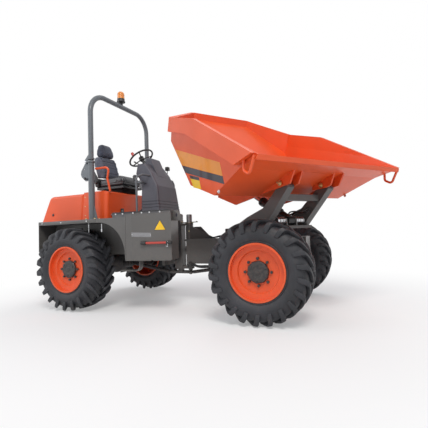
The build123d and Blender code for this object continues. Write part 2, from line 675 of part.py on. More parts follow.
# ================================================================ front chassis
def pivot_yoke():
    """Yoke between the chassis halves: lengthwise shaft, ears and steering pin."""
    z = OSCILLATION_HEIGHT
    shape = bar((-515, 0, z), (-225, 0, z), OSCILLATION_SHAFT / 2)
    shape += bar((-254, 0, z), (-215, 0, z), 120)
    shape += block((-216, -100), (-60, 60), (EAR_BOTTOM[0], EAR_TOP[1]))
    for low, high in (EAR_BOTTOM, EAR_TOP):
        shape += block((-150, 0), (-55, 55), (low, high))
        shape += Pos(0, 0, (low + high) / 2) * Cylinder(55, high - low)
    shape += bar((0, 0, EAR_BOTTOM[0] - 20), (0, 0, EAR_TOP[1] + 10), STEERING_PIN_DIAMETER / 2)
    shape += bar((0, 0, EAR_TOP[1]), (0, 0, PIN_CAP_TOP), STEERING_PIN_DIAMETER / 2 + 6)
    for low, high in ram_cheeks():
        shape += block((STEER_BASE[0] - 26, STEER_BASE[0] + 60), (50, STEER_BASE[1]), (low, high))
        shape += Pos(*STEER_BASE, (low + high) / 2) * Cylinder(30, high - low)
    shape += Pos(*STEER_BASE, STEER_HEIGHT) * Cylinder(STEER_PIN_RADIUS, 112)
    shape += bar((-330, 0, PROPSHAFT_HEIGHT), (-30, 0, PROPSHAFT_HEIGHT), PROPSHAFT_RADIUS)
    shape += Pos(0, 0, PROPSHAFT_HEIGHT) * Sphere(34)
    return shape + block((-190, -120), (-30, 30), (PROPSHAFT_HEIGHT, EAR_BOTTOM[0] + 5))


def ram_cheeks():
    """Height ranges of the two plates that hold each end of the steering ram."""
    return ((STEER_HEIGHT - 58, STEER_HEIGHT - 42), (STEER_HEIGHT + 42, STEER_HEIGHT + 58))


def front_frame():
    """Box beam with the steering housing, gussets and the turntable pedestal."""
    half = BEAM_WIDTH / 2
    raised = AXLE_PAD_HEIGHT
    side = [
        (20, BEAM_BOTTOM), (780, BEAM_BOTTOM), (890, raised), (FRONT_FRAME_END, raised),
        (FRONT_FRAME_END, BEAM_TOP), (20, BEAM_TOP),
    ]
    frame = side_cut(side, (-half, half))
    frame += block((880, FRONT_FRAME_END - 60), (-290, 290), (raised, BEAM_TOP - 30))
    frame += Pos(SWIVEL_X, 0, (BEAM_TOP - 30 + SLEW_BOTTOM) / 2) * Cylinder(SLEW_RADIUS + 30, SLEW_BOTTOM - BEAM_TOP + 30)
    frame += Pos(0, 0, (HOUSING[0] + HOUSING[1]) / 2) * Cylinder(HOUSING_RADIUS, HOUSING[1] - HOUSING[0])
    frame += Pos(0, 0, 855) * Cylinder(HOUSING_RADIUS + 20, 24)
    near = [(20, BEAM_TOP - 5), (20, 1050), (55, 1050), (430, BEAM_TOP - 5)]
    far = [(20, BEAM_TOP - 5), (20, 1040), (160, 1040), (340, BEAM_TOP - 5)]
    frame += side_cut(near, (-48, -34)) + side_cut(far, (34, 48))
    for low, high in ram_cheeks():
        frame += block((STEER_EYE[0] - 45, STEER_EYE[0] + 45), (half - 5, STEER_EYE[1]), (low, high))
        frame += Pos(*STEER_EYE, (low + high) / 2) * Cylinder(45, high - low)
    frame -= Pos(0, 0, 800) * Cylinder(STEERING_PIN_DIAMETER / 2 + SLIDE_CLEARANCE, 800)
    return frame


def slew_ring():
    """Fixed outer race of the turntable."""
    middle = (SLEW_BOTTOM + TURRET_PLATE_BOTTOM - 1) / 2
    height = TURRET_PLATE_BOTTOM - 1 - SLEW_BOTTOM
    return Pos(SWIVEL_X, 0, middle) * (Cylinder(SLEW_RADIUS + 30, height) - Cylinder(SLEW_RADIUS - 30, height))


def slew_motor():
    """Swivel motor and its valve block on top of the beam."""
    shape = block((560, 650), (-80, 80), (BEAM_TOP, BEAM_TOP + 70))
    shape += Pos(605, -30, BEAM_TOP + 95) * Cylinder(36, 70)
    return shape + Pos(605, 45, BEAM_TOP + 85) * Box(60, 46, 50)


def shaft_line(side, x_end):
    """Half of the drive line, from an axle's input down to the joint end."""
    return bar((side * (WHEELBASE / 2 - 240), 0, AXLE_HEIGHT), (x_end, 0, PROPSHAFT_HEIGHT), PROPSHAFT_RADIUS)


def front_axle():
    """Front axle with the front half of the drive line."""
    housing = Pos(WHEELBASE / 2, 0, AXLE_HEIGHT) * Rot(0, 0, 180) * axle()
    return housing + shaft_line(1, 42)


def rear_axle():
    """Rear axle with the rear half of the drive line."""
    housing = Pos(-WHEELBASE / 2, 0, AXLE_HEIGHT) * axle()
    return housing + shaft_line(-1, -345)


# ======================================================= turret, drawn straight
def turret_frame():
    """Turntable plate with the two arms, their cross-member and ram brackets."""
    low, high = TURRET_PLATE_BOTTOM, TURRET_PLATE_TOP
    frame = Pos(0, 0, (low + high) / 2) * Cylinder(TURRET_PLATE_RADIUS, high - low)
    frame += block((0, 520), (-ARM_OUTER + 30, ARM_OUTER - 30), (low, high))
    frame += block((0, 440), (-ARM_OUTER, ARM_OUTER), (low, high))
    race = Cylinder(SLEW_RADIUS - 30.3, 25) - Cylinder(SLEW_RADIUS - 90, 25)
    frame += Pos(0, 0, low - 12.5) * race
    pin_u, pin_z = TIP_PIN_AHEAD, TIP_PIN_HEIGHT
    rise = math.radians(RAMP_SLOPE)
    shoulder = (pin_u - ARM_EYE_RADIUS * math.sin(rise), pin_z + ARM_EYE_RADIUS * math.cos(rise))
    run = shoulder[0] - 420
    arm = [
        (-90, high), (-90, high + 50), (100, 1120), (420, shoulder[1] - run * math.tan(rise)), shoulder,
        (pin_u + 15, pin_z + 30), (pin_u + 70, pin_z - 21), (pin_u + 75, pin_z - 46), (440, high),
    ]
    eye = cross_bar(pin_u, pin_z, (ARM_INNER, ARM_OUTER), ARM_EYE_RADIUS)
    bore = cross_bar(pin_u, pin_z, (ARM_INNER - 5, ARM_OUTER + 5), TIP_PIN_DIAMETER / 2 + SLIDE_CLEARANCE)
    left = side_cut(arm, (ARM_INNER, ARM_OUTER)) + eye - bore
    frame += left + mirror(left, about=Plane.XZ)
    frame += block((625, 705), (-ARM_INNER, ARM_INNER), (1272, 1342))
    base_u, base_z = RAM_BASE_AHEAD, RAM_BASE_HEIGHT
    cheek = [(base_u - 90, high), (base_u - 35, base_z + 25), (base_u + 35, base_z + 25), (base_u + 50, high)]
    for y in (-82, 64):
        frame += side_cut(cheek, (y, y + 18))
    frame += cross_bar(base_u, base_z, (-200, 200), RAM_PIN_RADIUS)
    return frame


def ram_geometry():
    """Length and elevation of the tipping ram as parked, in the turret's frame."""
    tip = math.radians(TIP_ANGLE)
    eye_u = TIP_PIN_AHEAD + RAM_EYE_A * math.cos(tip) + RAM_EYE_W * math.sin(tip)
    eye_z = TIP_PIN_HEIGHT - RAM_EYE_A * math.sin(tip) + RAM_EYE_W * math.cos(tip)
    back, up = RAM_BASE_AHEAD - eye_u, eye_z - RAM_BASE_HEIGHT
    return math.hypot(back, up), math.degrees(math.atan2(up, back))


def ram_pair(length, barrel_radius, barrel_length, rod_radius, rod_length, base_eye, base_pin, eye_width):
    """Barrel and rod of a ram that lies along +X from its base pin, with pins along Y."""
    eye = cross_bar(0, 0, (-eye_width, eye_width), base_eye)
    barrel = eye + bar((0, 0, 0), (barrel_length, 0, 0), barrel_radius)
    barrel += bar((barrel_length - 40, 0, 0), (barrel_length, 0, 0), barrel_radius + 6)
    barrel -= bar((base_eye + 8, 0, 0), (barrel_length + 5, 0, 0), rod_radius + SLIDE_CLEARANCE)
    barrel -= cross_bar(0, 0, (-barrel_radius - 20, barrel_radius + 20), base_pin + SLIDE_CLEARANCE)
    rod = bar((length - rod_length, 0, 0), (length, 0, 0), rod_radius)
    rod += cross_bar(length, 0, (-eye_width, eye_width), rod_radius + 8)
    return barrel, rod


def tip_ram():
    """Tipping ram between the turret and the skip."""
    length, rise = ram_geometry()
    place = TURRET * Pos(RAM_BASE_AHEAD, 0, RAM_BASE_HEIGHT) * Rot(0, 180 + rise, 0)
    pair = ram_pair(length, BARREL_RADIUS, BARREL_LENGTH, ROD_RADIUS, ROD_LENGTH, 50, RAM_PIN_RADIUS, 42)
    return [place * piece for piece in pair]


def steer_ram():
    """Steering ram on the left, between the yoke and the front frame."""
    reach = Vector(STEER_EYE[0] - STEER_BASE[0], STEER_EYE[1] - STEER_BASE[1])
    turn = math.degrees(math.atan2(reach.Y, reach.X))
    place = Pos(*STEER_BASE, STEER_HEIGHT) * Rot(0, 0, turn) * Rot(90, 0, 0)
    pair = ram_pair(
        reach.length, STEER_BARREL_RADIUS - 6, STEER_BARREL_LENGTH, STEER_ROD_RADIUS, STEER_ROD_LENGTH,
        30, STEER_PIN_RADIUS, 38,
    )
    return [place * piece for piece in pair]


# ================================================ skip, drawn from its tip pins
# Outlines in the skip's own frame: a ahead of the tipping pins, h to the left and
# w above them.
FLOOR_FRONT = (-340, FLOOR_W)
FLOOR_REAR = (-936, FLOOR_W)
RAMP_KNEE = (114, 140)
LIP = (375, 285)
REAR_KNEE = (-2058, 600)
REAR_TOP = (-2103, 703)
RIM_REAR = (-1586, 564)
RIM_FRONT = (-900, 564)
LIP_TOP = (375, 295)
SIDE_HALF_WIDTH = 1003
FLOOR_HALF_WIDTH = 953
REAR_HALF_WIDTH = 485
RAMP_SLOPE = 37.9  # of the ramp over the arms


def skip_body(inset):
    """Filled form of the skip. With an inset it is the form of the load space."""
    under = [REAR_KNEE, FLOOR_REAR, FLOOR_FRONT, RAMP_KNEE, LIP]
    if inset:
        run, rise = LIP[0] - RAMP_KNEE[0], LIP[1] - RAMP_KNEE[1]
        beyond = (LIP[0] + 2 * run, LIP[1] + 2 * rise)
        side = [(REAR_KNEE[0], 2000)] + under[:-1] + [beyond, (beyond[0], 2000)]
    else:
        side = [(REAR_KNEE[0], REAR_TOP[1])] + under + [LIP_TOP, RIM_FRONT, RIM_REAR]
    front_a = LIP[0] + (900 if inset else 0)
    plan = [
        (front_a, -SIDE_HALF_WIDTH), (RIM_REAR[0], -SIDE_HALF_WIDTH), (REAR_KNEE[0], -REAR_HALF_WIDTH),
        (REAR_KNEE[0], REAR_HALF_WIDTH), (RIM_REAR[0], SIDE_HALF_WIDTH), (front_a, SIDE_HALF_WIDTH),
    ]
    top = 2000 if inset else 800
    section = [
        (-FLOOR_HALF_WIDTH, FLOOR_W), (FLOOR_HALF_WIDTH, FLOOR_W), (SIDE_HALF_WIDTH, 380),
        (SIDE_HALF_WIDTH, top), (-SIDE_HALF_WIDTH, top), (-SIDE_HALF_WIDTH, 380),
    ]
    faces = [
        make_face(Polyline(*[(a, 0, w) for a, w in side], close=True)),
        make_face(Polyline(*[(a, h, 0) for a, h in plan], close=True)),
        make_face(Polyline(*[(0, h, w) for h, w in section], close=True)),
    ]
    if inset:
        faces = [offset(face, amount=-inset, kind=Kind.INTERSECTION) for face in faces]
    body = Pos(0, -1500, 0) * extrude(faces[0], amount=3000, dir=(0, 1, 0))
    body &= Pos(0, 0, -1000) * extrude(faces[1], amount=4000, dir=(0, 0, 1))
    return body & Pos(-3000, 0, 0) * extrude(faces[2], amount=6000, dir=(1, 0, 0))


def rim_rail():
    """Folded rail round the outside of the rim, cut off slanting at the lip."""
    proud = RAIL_PROUD
    walls = [
        (800, -SIDE_HALF_WIDTH), (RIM_REAR[0], -SIDE_HALF_WIDTH), (REAR_KNEE[0], -REAR_HALF_WIDTH),
        (REAR_KNEE[0], REAR_HALF_WIDTH), (RIM_REAR[0], SIDE_HALF_WIDTH), (800, SIDE_HALF_WIDTH),
    ]
    inner = make_face(Polyline(*walls, close=True))
    ring = offset(inner, amount=proud, kind=Kind.INTERSECTION) - inner
    ring = Pos(0, 0, -500) * extrude(ring, amount=2000, dir=(0, 0, 1))
    band = [
        REAR_TOP, RIM_REAR, RIM_FRONT, (350, 300), (94, 159), (-1056, RIM_FRONT[1] - RAIL_HEIGHT),
        (RIM_REAR[0], RIM_REAR[1] - RAIL_HEIGHT), (REAR_TOP[0], REAR_TOP[1] - RAIL_HEIGHT),
    ]
    return ring & side_cut(band, (-1500, 1500))


def lifting_eye():
    """Right-hand lifting eye: a round bar bent into a U under the lip's corner."""
    h = -SIDE_HALF_WIDTH - 9
    return pipe([(196, h, 236), (228, h, 128), (322, h, 112), (352, h, 284)], 34, 13)


def skip_shell():
    """Skip: folded floor, ramp and walls, rim rail, lip bar and lifting eyes."""
    shell = skip_body(0) - skip_body(SKIP_WALL)
    lip_bar = [(LIP[0], LIP[1] - 38), (LIP[0], LIP[1]), (LIP[0] - 45, LIP[1] - 25), (LIP[0] - 45, LIP[1] - 38)]
    shell += side_cut(lip_bar, (-SIDE_HALF_WIDTH, SIDE_HALF_WIDTH))
    shell += rim_rail()
    eye = lifting_eye()
    return shell + eye + mirror(eye, about=Plane.XZ)


def skip_underframe():
    """Plates under the skip with the tipping pins and the ram's bracket."""
    plate = [(-1236, -418), (-786, -418), (134, 22), (170, 180), (-300, 180), (-1330, 100)]
    lug = [(-140, 60), (-120, -88), (-30, -48), (50, -22), (128, 24), (150, 180)]
    eye_a, eye_w = RAM_EYE_A, RAM_EYE_W
    bracket = [(eye_a - 130, 60), (eye_a - 50, eye_w - 45), (eye_a + 50, eye_w - 45), (eye_a + 150, 0)]
    pin = TIP_PIN_DIAMETER / 2
    left = side_cut(plate, (PLATE_INNER, PLATE_OUTER)) + side_cut(lug, (LUG_INNER, LUG_OUTER))
    left += side_cut(bracket, (48, 66))
    left -= skip_body(0)
    left += cross_bar(0, 0, (LUG_INNER - 6, PLATE_OUTER + 12), pin)
    left += cross_bar(eye_a, eye_w, (58, 78), 30)
    return group(left, mirror(left, about=Plane.XZ))


# ==================================================================== assembly
def wheel_pieces(name, x, side, shapes):
    """Tyre, rim and hub of one wheel; side is -1 on the right, 1 on the left."""
    centre = Pos(x, side * TRACK / 2, AXLE_HEIGHT)
    outward = centre * Rot(0, 0, 0 if side < 0 else 180)
    whole_tyre, whole_rim, whole_hub = shapes
    return {
        f"tyre_{name}": centre * whole_tyre,
        f"rim_{name}": outward * whole_rim,
        f"hub_{name}": outward * whole_hub,
    }


def machine():
    """Every node by its name, in the frame under the steering pin."""
    tip_barrel, tip_rod = tip_ram()
    steer_barrel, steer_rod = steer_ram()
    nodes = {
        "rear_frame": rear_frame(),
        "side_tanks": group(tank(), left_box()),
        "fenders": group(fender(TANK_REAR - 1), mirror(fender(LEFT_BOX_REAR), about=Plane.XZ)),
        "platform_deck": platform_deck(),
        "steps": group(step((-520, -250), (-880, -730)), step((-600, -450), (510, 640))),
        "rear_axle": rear_axle(),
        "engine_block": engine_block(),
        "tail_panel": tail_panel(),
        "tow_lug": tow_lug(),
        "seat_box": seat_box(),
        "seat_suspension": seat_suspension(),
        "seat_cushion": seat_cushion(),
        "seat_backrest": seat_backrest(),
        "console": console(),
        "steering_wheel": steering_wheel(),
        "grab_rails": both_sides(grab_rail()),
        "handrails": both_sides(handrail() - console()),
        "rops_posts": both_sides(rops_post()),
        "lock_bar": lock_bar(),
        "engine_hood": engine_hood(),
        "rops_hoop": rops_hoop(),
        "beacon_base": beacon_base(),
        "beacon_lens": beacon_lens(),
        "pivot_yoke": pivot_yoke(),
        "steer_barrel": steer_barrel,
        "steer_rod": steer_rod,
        "front_frame": front_frame(),
        "front_axle": front_axle(),
        "slew_ring": slew_ring(),
        "slew_motor": slew_motor(),
        "turret_frame": TURRET * turret_frame(),
        "tip_barrel": tip_barrel,
        "tip_rod": tip_rod,
        "skip_shell": SKIP * skip_shell(),
        "skip_underframe": SKIP * skip_underframe(),
    }
    wheel_shapes = (tyre(), rim(), hub())
    for name, x, side in (
        ("front_right", WHEELBASE / 2, -1), ("front_left", WHEELBASE / 2, 1),
        ("rear_right", -WHEELBASE / 2, -1), ("rear_left", -WHEELBASE / 2, 1),
    ):
        nodes.update(wheel_pieces(name, x, side, wheel_shapes))
    return nodes


nodes = machine()
boxes = [shape.bounding_box() for shape in nodes.values()]
low = [min(getattr(box.min, axis) for box in boxes) for axis in "XYZ"]
high = [max(getattr(box.max, axis) for box in boxes) for axis in "XYZ"]
shift = Pos(-(low[0] + high[0]) / 2, -(low[1] + high[1]) / 2, -low[2])
print("moved by", shift.position, "size", [round(b - a, 1) for a, b in zip(low, high)])

os.makedirs("parts", exist_ok=True)
for name, shape in nodes.items():
    export_step(shift * shape, f"parts/{name}.step")
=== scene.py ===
import json
import math

import bmesh
import bpy
from mathutils import Matrix, Vector


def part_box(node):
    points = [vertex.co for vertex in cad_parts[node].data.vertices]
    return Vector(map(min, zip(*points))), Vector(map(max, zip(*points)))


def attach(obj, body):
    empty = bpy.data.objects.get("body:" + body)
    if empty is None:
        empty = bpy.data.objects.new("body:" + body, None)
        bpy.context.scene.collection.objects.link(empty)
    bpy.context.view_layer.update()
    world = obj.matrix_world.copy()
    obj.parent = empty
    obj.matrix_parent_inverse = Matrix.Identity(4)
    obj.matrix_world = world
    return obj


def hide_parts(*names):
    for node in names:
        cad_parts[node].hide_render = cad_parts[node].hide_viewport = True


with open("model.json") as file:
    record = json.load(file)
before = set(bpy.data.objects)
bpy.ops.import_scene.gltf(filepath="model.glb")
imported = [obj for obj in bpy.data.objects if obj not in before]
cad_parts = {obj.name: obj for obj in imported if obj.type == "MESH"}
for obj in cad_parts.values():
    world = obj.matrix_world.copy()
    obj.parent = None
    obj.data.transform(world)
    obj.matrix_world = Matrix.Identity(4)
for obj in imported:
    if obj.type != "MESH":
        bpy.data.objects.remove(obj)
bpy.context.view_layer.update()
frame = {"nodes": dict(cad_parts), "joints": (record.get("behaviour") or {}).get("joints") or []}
joints = {joint["name"]: joint for joint in frame["joints"]}

# ------------------------------------------------------- places on the machine
PIN = Vector(joints["steering"]["pos_m"])
SWIVEL = Vector(joints["skip_swivel"]["pos_m"])
TIP_PIN = Vector(joints["skip_tip"]["pos_m"])
ACROSS = Vector(joints["skip_tip"]["axis"])  # the tipping pins' line, to the left
AHEAD = Vector((ACROSS.y, -ACROSS.x, 0))
UP = Vector((0, 0, 1))
NOSE_DOWN = math.radians(18.2)
PIN_RADIUS = 0.021  # of the tipping pins' ends
POST_AHEAD, POST_OUT = -1165, 670  # of the hoop's posts, in millimetres
REAR, FRONT = "rear_chassis", "front_chassis"
SIDES = ((-1, "right"), (1, "left"))
WHEELS = ("front_right", "front_left", "rear_right", "rear_left")


def at(x, y, z):
    """Point from millimetres ahead, left and up of the ground under the steering pin."""
    return Vector((x / 1000 + PIN.x, y / 1000 + PIN.y, z / 1000))


def on_turret(u, v, z):
    """Point from millimetres in the turret's own straight frame."""
    base = Vector((SWIVEL.x, SWIVEL.y, 0))
    return base + AHEAD * (u / 1000) + ACROSS * (v / 1000) + Vector((0, 0, z / 1000))


def on_skip(a, h, w):
    """Point from millimetres ahead, left and above the tipping pins, square to the skip."""
    c, s = math.cos(NOSE_DOWN), math.sin(NOSE_DOWN)
    ahead = AHEAD * c - Vector((0, 0, s))
    above = AHEAD * s + Vector((0, 0, c))
    return TIP_PIN + ahead * (a / 1000) + ACROSS * (h / 1000) + above * (w / 1000)


def turns(count, start=0.0):
    """Angles evenly round a circle, from a share of a step on."""
    return [math.tau * (i + start) / count for i in range(count)]


# ---------------------------------------------------------------- shader maths
class Value:
    """A socket on which Python arithmetic adds Math nodes."""

    def __init__(self, finish, socket):
        self.finish, self.socket = finish, socket

    def maths(self, kind, *others):
        """A Math node of one kind on this value and others."""
        return self.finish.node("Math", {"operation": kind}, self, *others)

    def __add__(self, other):
        return self.maths("ADD", other)

    def __sub__(self, other):
        return self.maths("SUBTRACT", other)

    def __mul__(self, other):
        return self.maths("MULTIPLY", other)

    def __rsub__(self, other):
        return self.finish.node("Math", {"operation": "SUBTRACT"}, other, self)

    __radd__, __rmul__ = __add__, __mul__

    def ramp(self, low, high):
        """0 below low, 1 above high, smooth between."""
        settings = {"interpolation_type": "SMOOTHSTEP"}
        return self.finish.node("MapRange", settings, self, low, high)


class Finish:
    """A material under construction: its tree, its shader and the object's coordinates."""

    def __init__(self, name, rough=0.5, metal=0.0, **constants):
        self.material = bpy.data.materials.new(name)
        self.material.use_nodes = True
        self.tree = self.material.node_tree
        self.shader = self.tree.nodes["Principled BSDF"]
        self.put("Roughness", rough)
        self.put("Metallic", metal)
        for socket, value in constants.items():
            self.put(socket.replace("_", " "), value)
        self.place = self.node("TexCoord", {}, out="Object")
        self.relief = None

    def node(self, kind, settings, *values, out=0, **named):
        """One node: its settings, then what its sockets hold, by order or by name."""
        new = self.tree.nodes.new("ShaderNode" + kind)
        for key, value in settings.items():
            setattr(new, key, value)
        pairs = list(enumerate(values)) + [(k.replace("_", " "), v) for k, v in named.items()]
        for key, value in pairs:
            self.feed(new.inputs[key], value)
        return Value(self, new.outputs[out])

    def feed(self, socket, value):
        """Links a value to a socket, or sets the socket to a plain number, vector or colour."""
        if isinstance(value, Value):
            self.tree.links.new(value.socket, socket)
        elif socket.type == "RGBA" and len(value) == 3:
            socket.default_value = (*value, 1)
        else:
            socket.default_value = value

    def put(self, socket, value):
        """Sets one of the shader's own sockets by name."""
        self.feed(self.shader.inputs[socket], value)

    def noise(self, scale, detail, stretch=None, rough=0.5):
        """Cloudy noise over the piece, finer along an axis that is stretched."""
        where = self.place
        if stretch:
            where = self.node("Mapping", {}, where, Scale=stretch)
        return self.node("TexNoise", {}, Vector=where, Scale=scale, Detail=detail, Roughness=rough)

    def mix(self, factor, first, second):
        """Blend of two colours."""
        new = self.tree.nodes.new("ShaderNodeMix")
        new.data_type = "RGBA"
        self.feed(new.inputs[0], factor)
        self.feed(new.inputs[6], first)
        self.feed(new.inputs[7], second)
        return Value(self, new.outputs[2])

    def raise_by(self, height, distance, strength=1.0):
        """Adds a relief to what the shader already has."""
        named = {"Strength": strength, "Distance": distance, "Height": height}
        if self.relief:
            named["Normal"] = self.relief
        self.relief = self.node("Bump", {}, **named)
        self.put("Normal", self.relief)

    def soften_edges(self, radius):
        """Rounds the light on sharp edges and returns a mask of those edges."""
        rounded = self.node("Bevel", {"samples": 4}, Radius=radius)
        self.relief = rounded
        self.put("Normal", rounded)
        flat = self.node("NewGeometry", {}, out="Normal")
        same = self.node("VectorMath", {"operation": "DOT_PRODUCT"}, rounded, flat, out="Value")
        return (1 - same).ramp(0.01, 0.12)


def toned(colour, by, lift=0.0):
    """A colour made darker or paler."""
    return [min(1, c * by + lift) for c in colour]


def painted(name, colour, worn, dust, rough=0.4, coat=0.3):
    """Paint with soft edges, faint clouds, wear along the edges and dust low down."""
    finish = Finish(name, rough=rough, Coat_Weight=coat, Coat_Roughness=0.12)
    edges = finish.soften_edges(0.004)
    clouds = finish.noise(2.3, 4)
    fine = finish.noise(38, 3)
    base = finish.mix(clouds.ramp(0.35, 0.7) * 0.5, colour, toned(colour, 0.84))
    scuffs = finish.noise(9, 6, stretch=(1, 1, 4), rough=0.7).ramp(0.62, 0.75)
    base = finish.mix(scuffs * 0.22, base, toned(colour, 1.25, 0.02))
    height = finish.node("SeparateXYZ", {}, finish.place, out="Z")
    grime = (1.3 - height).ramp(0.1, 1.1) * fine.ramp(0.3, 0.75)
    base = finish.mix(grime * dust, base, (0.24, 0.2, 0.16))
    chips = edges * finish.noise(60, 4).ramp(0.5, 0.62)
    base = finish.mix(chips * 0.55, base, worn)
    finish.put("Base Color", base)
    finish.put("Roughness", clouds * 0.12 + fine * 0.08 + (rough - 0.09) + grime * 0.25)
    finish.raise_by(finish.noise(160, 2), 0.0006, 0.25)
    return finish.material


orange_paint = painted("orange paint", (0.84, 0.098, 0.016), (0.42, 0.09, 0.03), 0.12, rough=0.42, coat=0.15)
red_paint = painted("lock bar paint", (0.5, 0.045, 0.03), (0.3, 0.1, 0.07), 0.2)
CHASSIS_GREY = (0.112, 0.107, 0.102)
chassis_paint = painted("chassis paint", CHASSIS_GREY, (0.2, 0.19, 0.18), 0.22, rough=0.42, coat=0.15)
hoop_paint = painted("hoop paint", (0.125, 0.14, 0.155), (0.22, 0.22, 0.22), 0.05, rough=0.42, coat=0.15)
axle_paint = painted("axle paint", (0.045, 0.045, 0.05), (0.12, 0.11, 0.1), 0.4, rough=0.5, coat=0.0)
black_paint = painted("black paint", (0.018, 0.018, 0.02), (0.1, 0.1, 0.1), 0.25, rough=0.42, coat=0.1)


def deck_finish():
    """Grey deck with raised studs against slipping."""
    finish = Finish("studded deck", rough=0.6)
    finish.soften_edges(0.004)
    cells = finish.node("TexVoronoi", {"feature": "F1"}, Vector=finish.place, Scale=34.0, Randomness=0.0)
    studs = 1 - cells.ramp(0.16, 0.3)
    dirt = finish.noise(7, 5).ramp(0.4, 0.75)
    base = finish.mix(dirt * 0.5, (0.1, 0.1, 0.105), (0.19, 0.165, 0.14))
    finish.put("Base Color", finish.mix(studs * 0.4, base, (0.17, 0.17, 0.175)))
    finish.raise_by(studs, 0.002, 0.7)
    return finish.material


def rubber_finish():
    """Black tyre rubber with pale dusty patches."""
    finish = Finish("tyre rubber", rough=0.62)
    clouds = finish.noise(5, 5)
    fine = finish.noise(70, 4)
    base = finish.mix(clouds.ramp(0.3, 0.75), (0.018, 0.019, 0.023), (0.037, 0.038, 0.045))
    dust = finish.noise(13, 6, rough=0.65).ramp(0.55, 0.8)
    finish.put("Base Color", finish.mix(dust * 0.35, base, (0.12, 0.105, 0.09)))
    finish.put("Roughness", clouds * 0.25 + 0.46)
    finish.raise_by(fine, 0.0012, 0.35)
    finish.raise_by(finish.noise(240, 2), 0.0005, 0.3)
    return finish.material


def plastic_finish(name, colour, grain=320, rough=0.5):
    """Moulded plastic with a leather-like grain."""
    finish = Finish(name, rough=rough)
    finish.soften_edges(0.005)
    clouds = finish.noise(4, 3)
    finish.put("Base Color", finish.mix(clouds.ramp(0.3, 0.75), toned(colour, 0.82), toned(colour, 1.12)))
    finish.put("Roughness", clouds * 0.15 + (rough - 0.07))
    cells = finish.node("TexVoronoi", {"feature": "SMOOTH_F1"}, Vector=finish.place, Scale=float(grain))
    finish.raise_by(cells, 0.0006, 0.45)
    return finish.material


def cloth_finish(name, colour):
    """Woven seat cloth: crossed threads with paler flecks."""
    finish = Finish(name, rough=0.9, Sheen_Weight=0.25, Sheen_Roughness=0.5)
    across, along = (
        finish.node("TexWave", {"bands_direction": run}, Vector=finish.place, Scale=90.0, Distortion=0.6)
        for run in "YZ"
    )
    weave = across * 0.5 + along * 0.5
    flecks = finish.noise(210, 2).ramp(0.55, 0.7)
    shade = finish.noise(6, 4).ramp(0.3, 0.7)
    base = finish.mix(shade, toned(colour, 0.8), toned(colour, 1.15))
    finish.put("Base Color", finish.mix(flecks * 0.45, base, toned(colour, 2.0, 0.02)))
    finish.raise_by(weave, 0.0008, 0.6)
    return finish.material


def vinyl_finish():
    """Shiny black seat vinyl with a fine crinkle."""
    finish = Finish("seat vinyl", rough=0.32, Coat_Weight=0.15)
    clouds = finish.noise(9, 4)
    finish.put("Base Color", finish.mix(clouds.ramp(0.35, 0.7), (0.02, 0.02, 0.024), (0.036, 0.036, 0.042)))
    finish.put("Roughness", clouds * 0.25 + 0.22)
    cells = finish.node("TexVoronoi", {"feature": "SMOOTH_F1"}, Vector=finish.place, Scale=260.0)
    finish.raise_by(cells, 0.0006, 0.5)
    return finish.material


def metal_finish(name, colour, rough):
    """Bare or plated metal with fine marks."""
    finish = Finish(name, rough=rough, metal=1.0)
    marks = finish.noise(22, 5, stretch=(1, 1, 30))
    finish.put("Base Color", finish.mix(marks.ramp(0.35, 0.7), colour, toned(colour, 0.8)))
    finish.put("Roughness", marks * 0.18 + (rough - 0.06))
    finish.raise_by(marks, 0.0003, 0.3)
    return finish.material


def lens_finish():
    """Amber lens with moulded rings."""
    finish = Finish("amber lens", rough=0.18, Coat_Weight=0.6, Transmission_Weight=0.25, IOR=1.49)
    height = finish.node("SeparateXYZ", {}, finish.place, out="Z")
    rings = (height * 480).maths("SINE")
    finish.put("Base Color", finish.mix(rings.ramp(-1, 1), (0.85, 0.22, 0.015), (0.95, 0.36, 0.03)))
    finish.raise_by(rings, 0.001, 0.5)
    return finish.material


def plain_label(name, colour):
    """Flat printed film: one colour, faintly faded and scuffed."""
    finish = Finish(name, rough=0.35, Coat_Weight=0.3)
    fade = finish.noise(14, 4)
    finish.put("Base Color", finish.mix(fade.ramp(0.35, 0.8) * 0.4, colour, toned(colour, 0.8, 0.03)))
    finish.put("Roughness", fade * 0.15 + 0.3)
    return finish.material


deck_studs = deck_finish()
tyre_rubber = rubber_finish()
console_plastic = plastic_finish("console plastic", (0.078, 0.078, 0.098))
black_plastic = plastic_finish("black plastic", (0.02, 0.02, 0.022), rough=0.45)
seat_cloth = cloth_finish("seat cloth", (0.05, 0.058, 0.085))
bolster_cloth = cloth_finish("bolster cloth", (0.11, 0.12, 0.155))
seat_vinyl = vinyl_finish()
chrome = metal_finish("chromed rod", (0.86, 0.86, 0.87), 0.12)
zinc = metal_finish("zinc plate", (0.72, 0.6, 0.33), 0.32)
bright_zinc = metal_finish("bright zinc", (0.75, 0.76, 0.78), 0.28)
engine_metal = metal_finish("engine casting", (0.3, 0.3, 0.31), 0.55)
amber_lens = lens_finish()
yellow_film = plain_label("yellow film", (0.93, 0.57, 0.012))
amber_film = plain_label("amber film", (0.9, 0.3, 0.012))
black_film = plain_label("black film", (0.018, 0.017, 0.03))
pale_film = plain_label("pale film", (0.78, 0.78, 0.78))
hose_rubber = plastic_finish("hose rubber", (0.022, 0.022, 0.024), grain=500, rough=0.55)

# finishes of the scene's own pieces, each paired with the name of a record's material slot
PLASTIC = (black_plastic, "black_plastic")
BLACK_METAL = (black_paint, "black_metal")
BRIGHT = (bright_zinc, "rod_chrome")
GREY = (chassis_paint, "chassis_grey")
ORANGE_COAT = (orange_paint, "paint_orange")

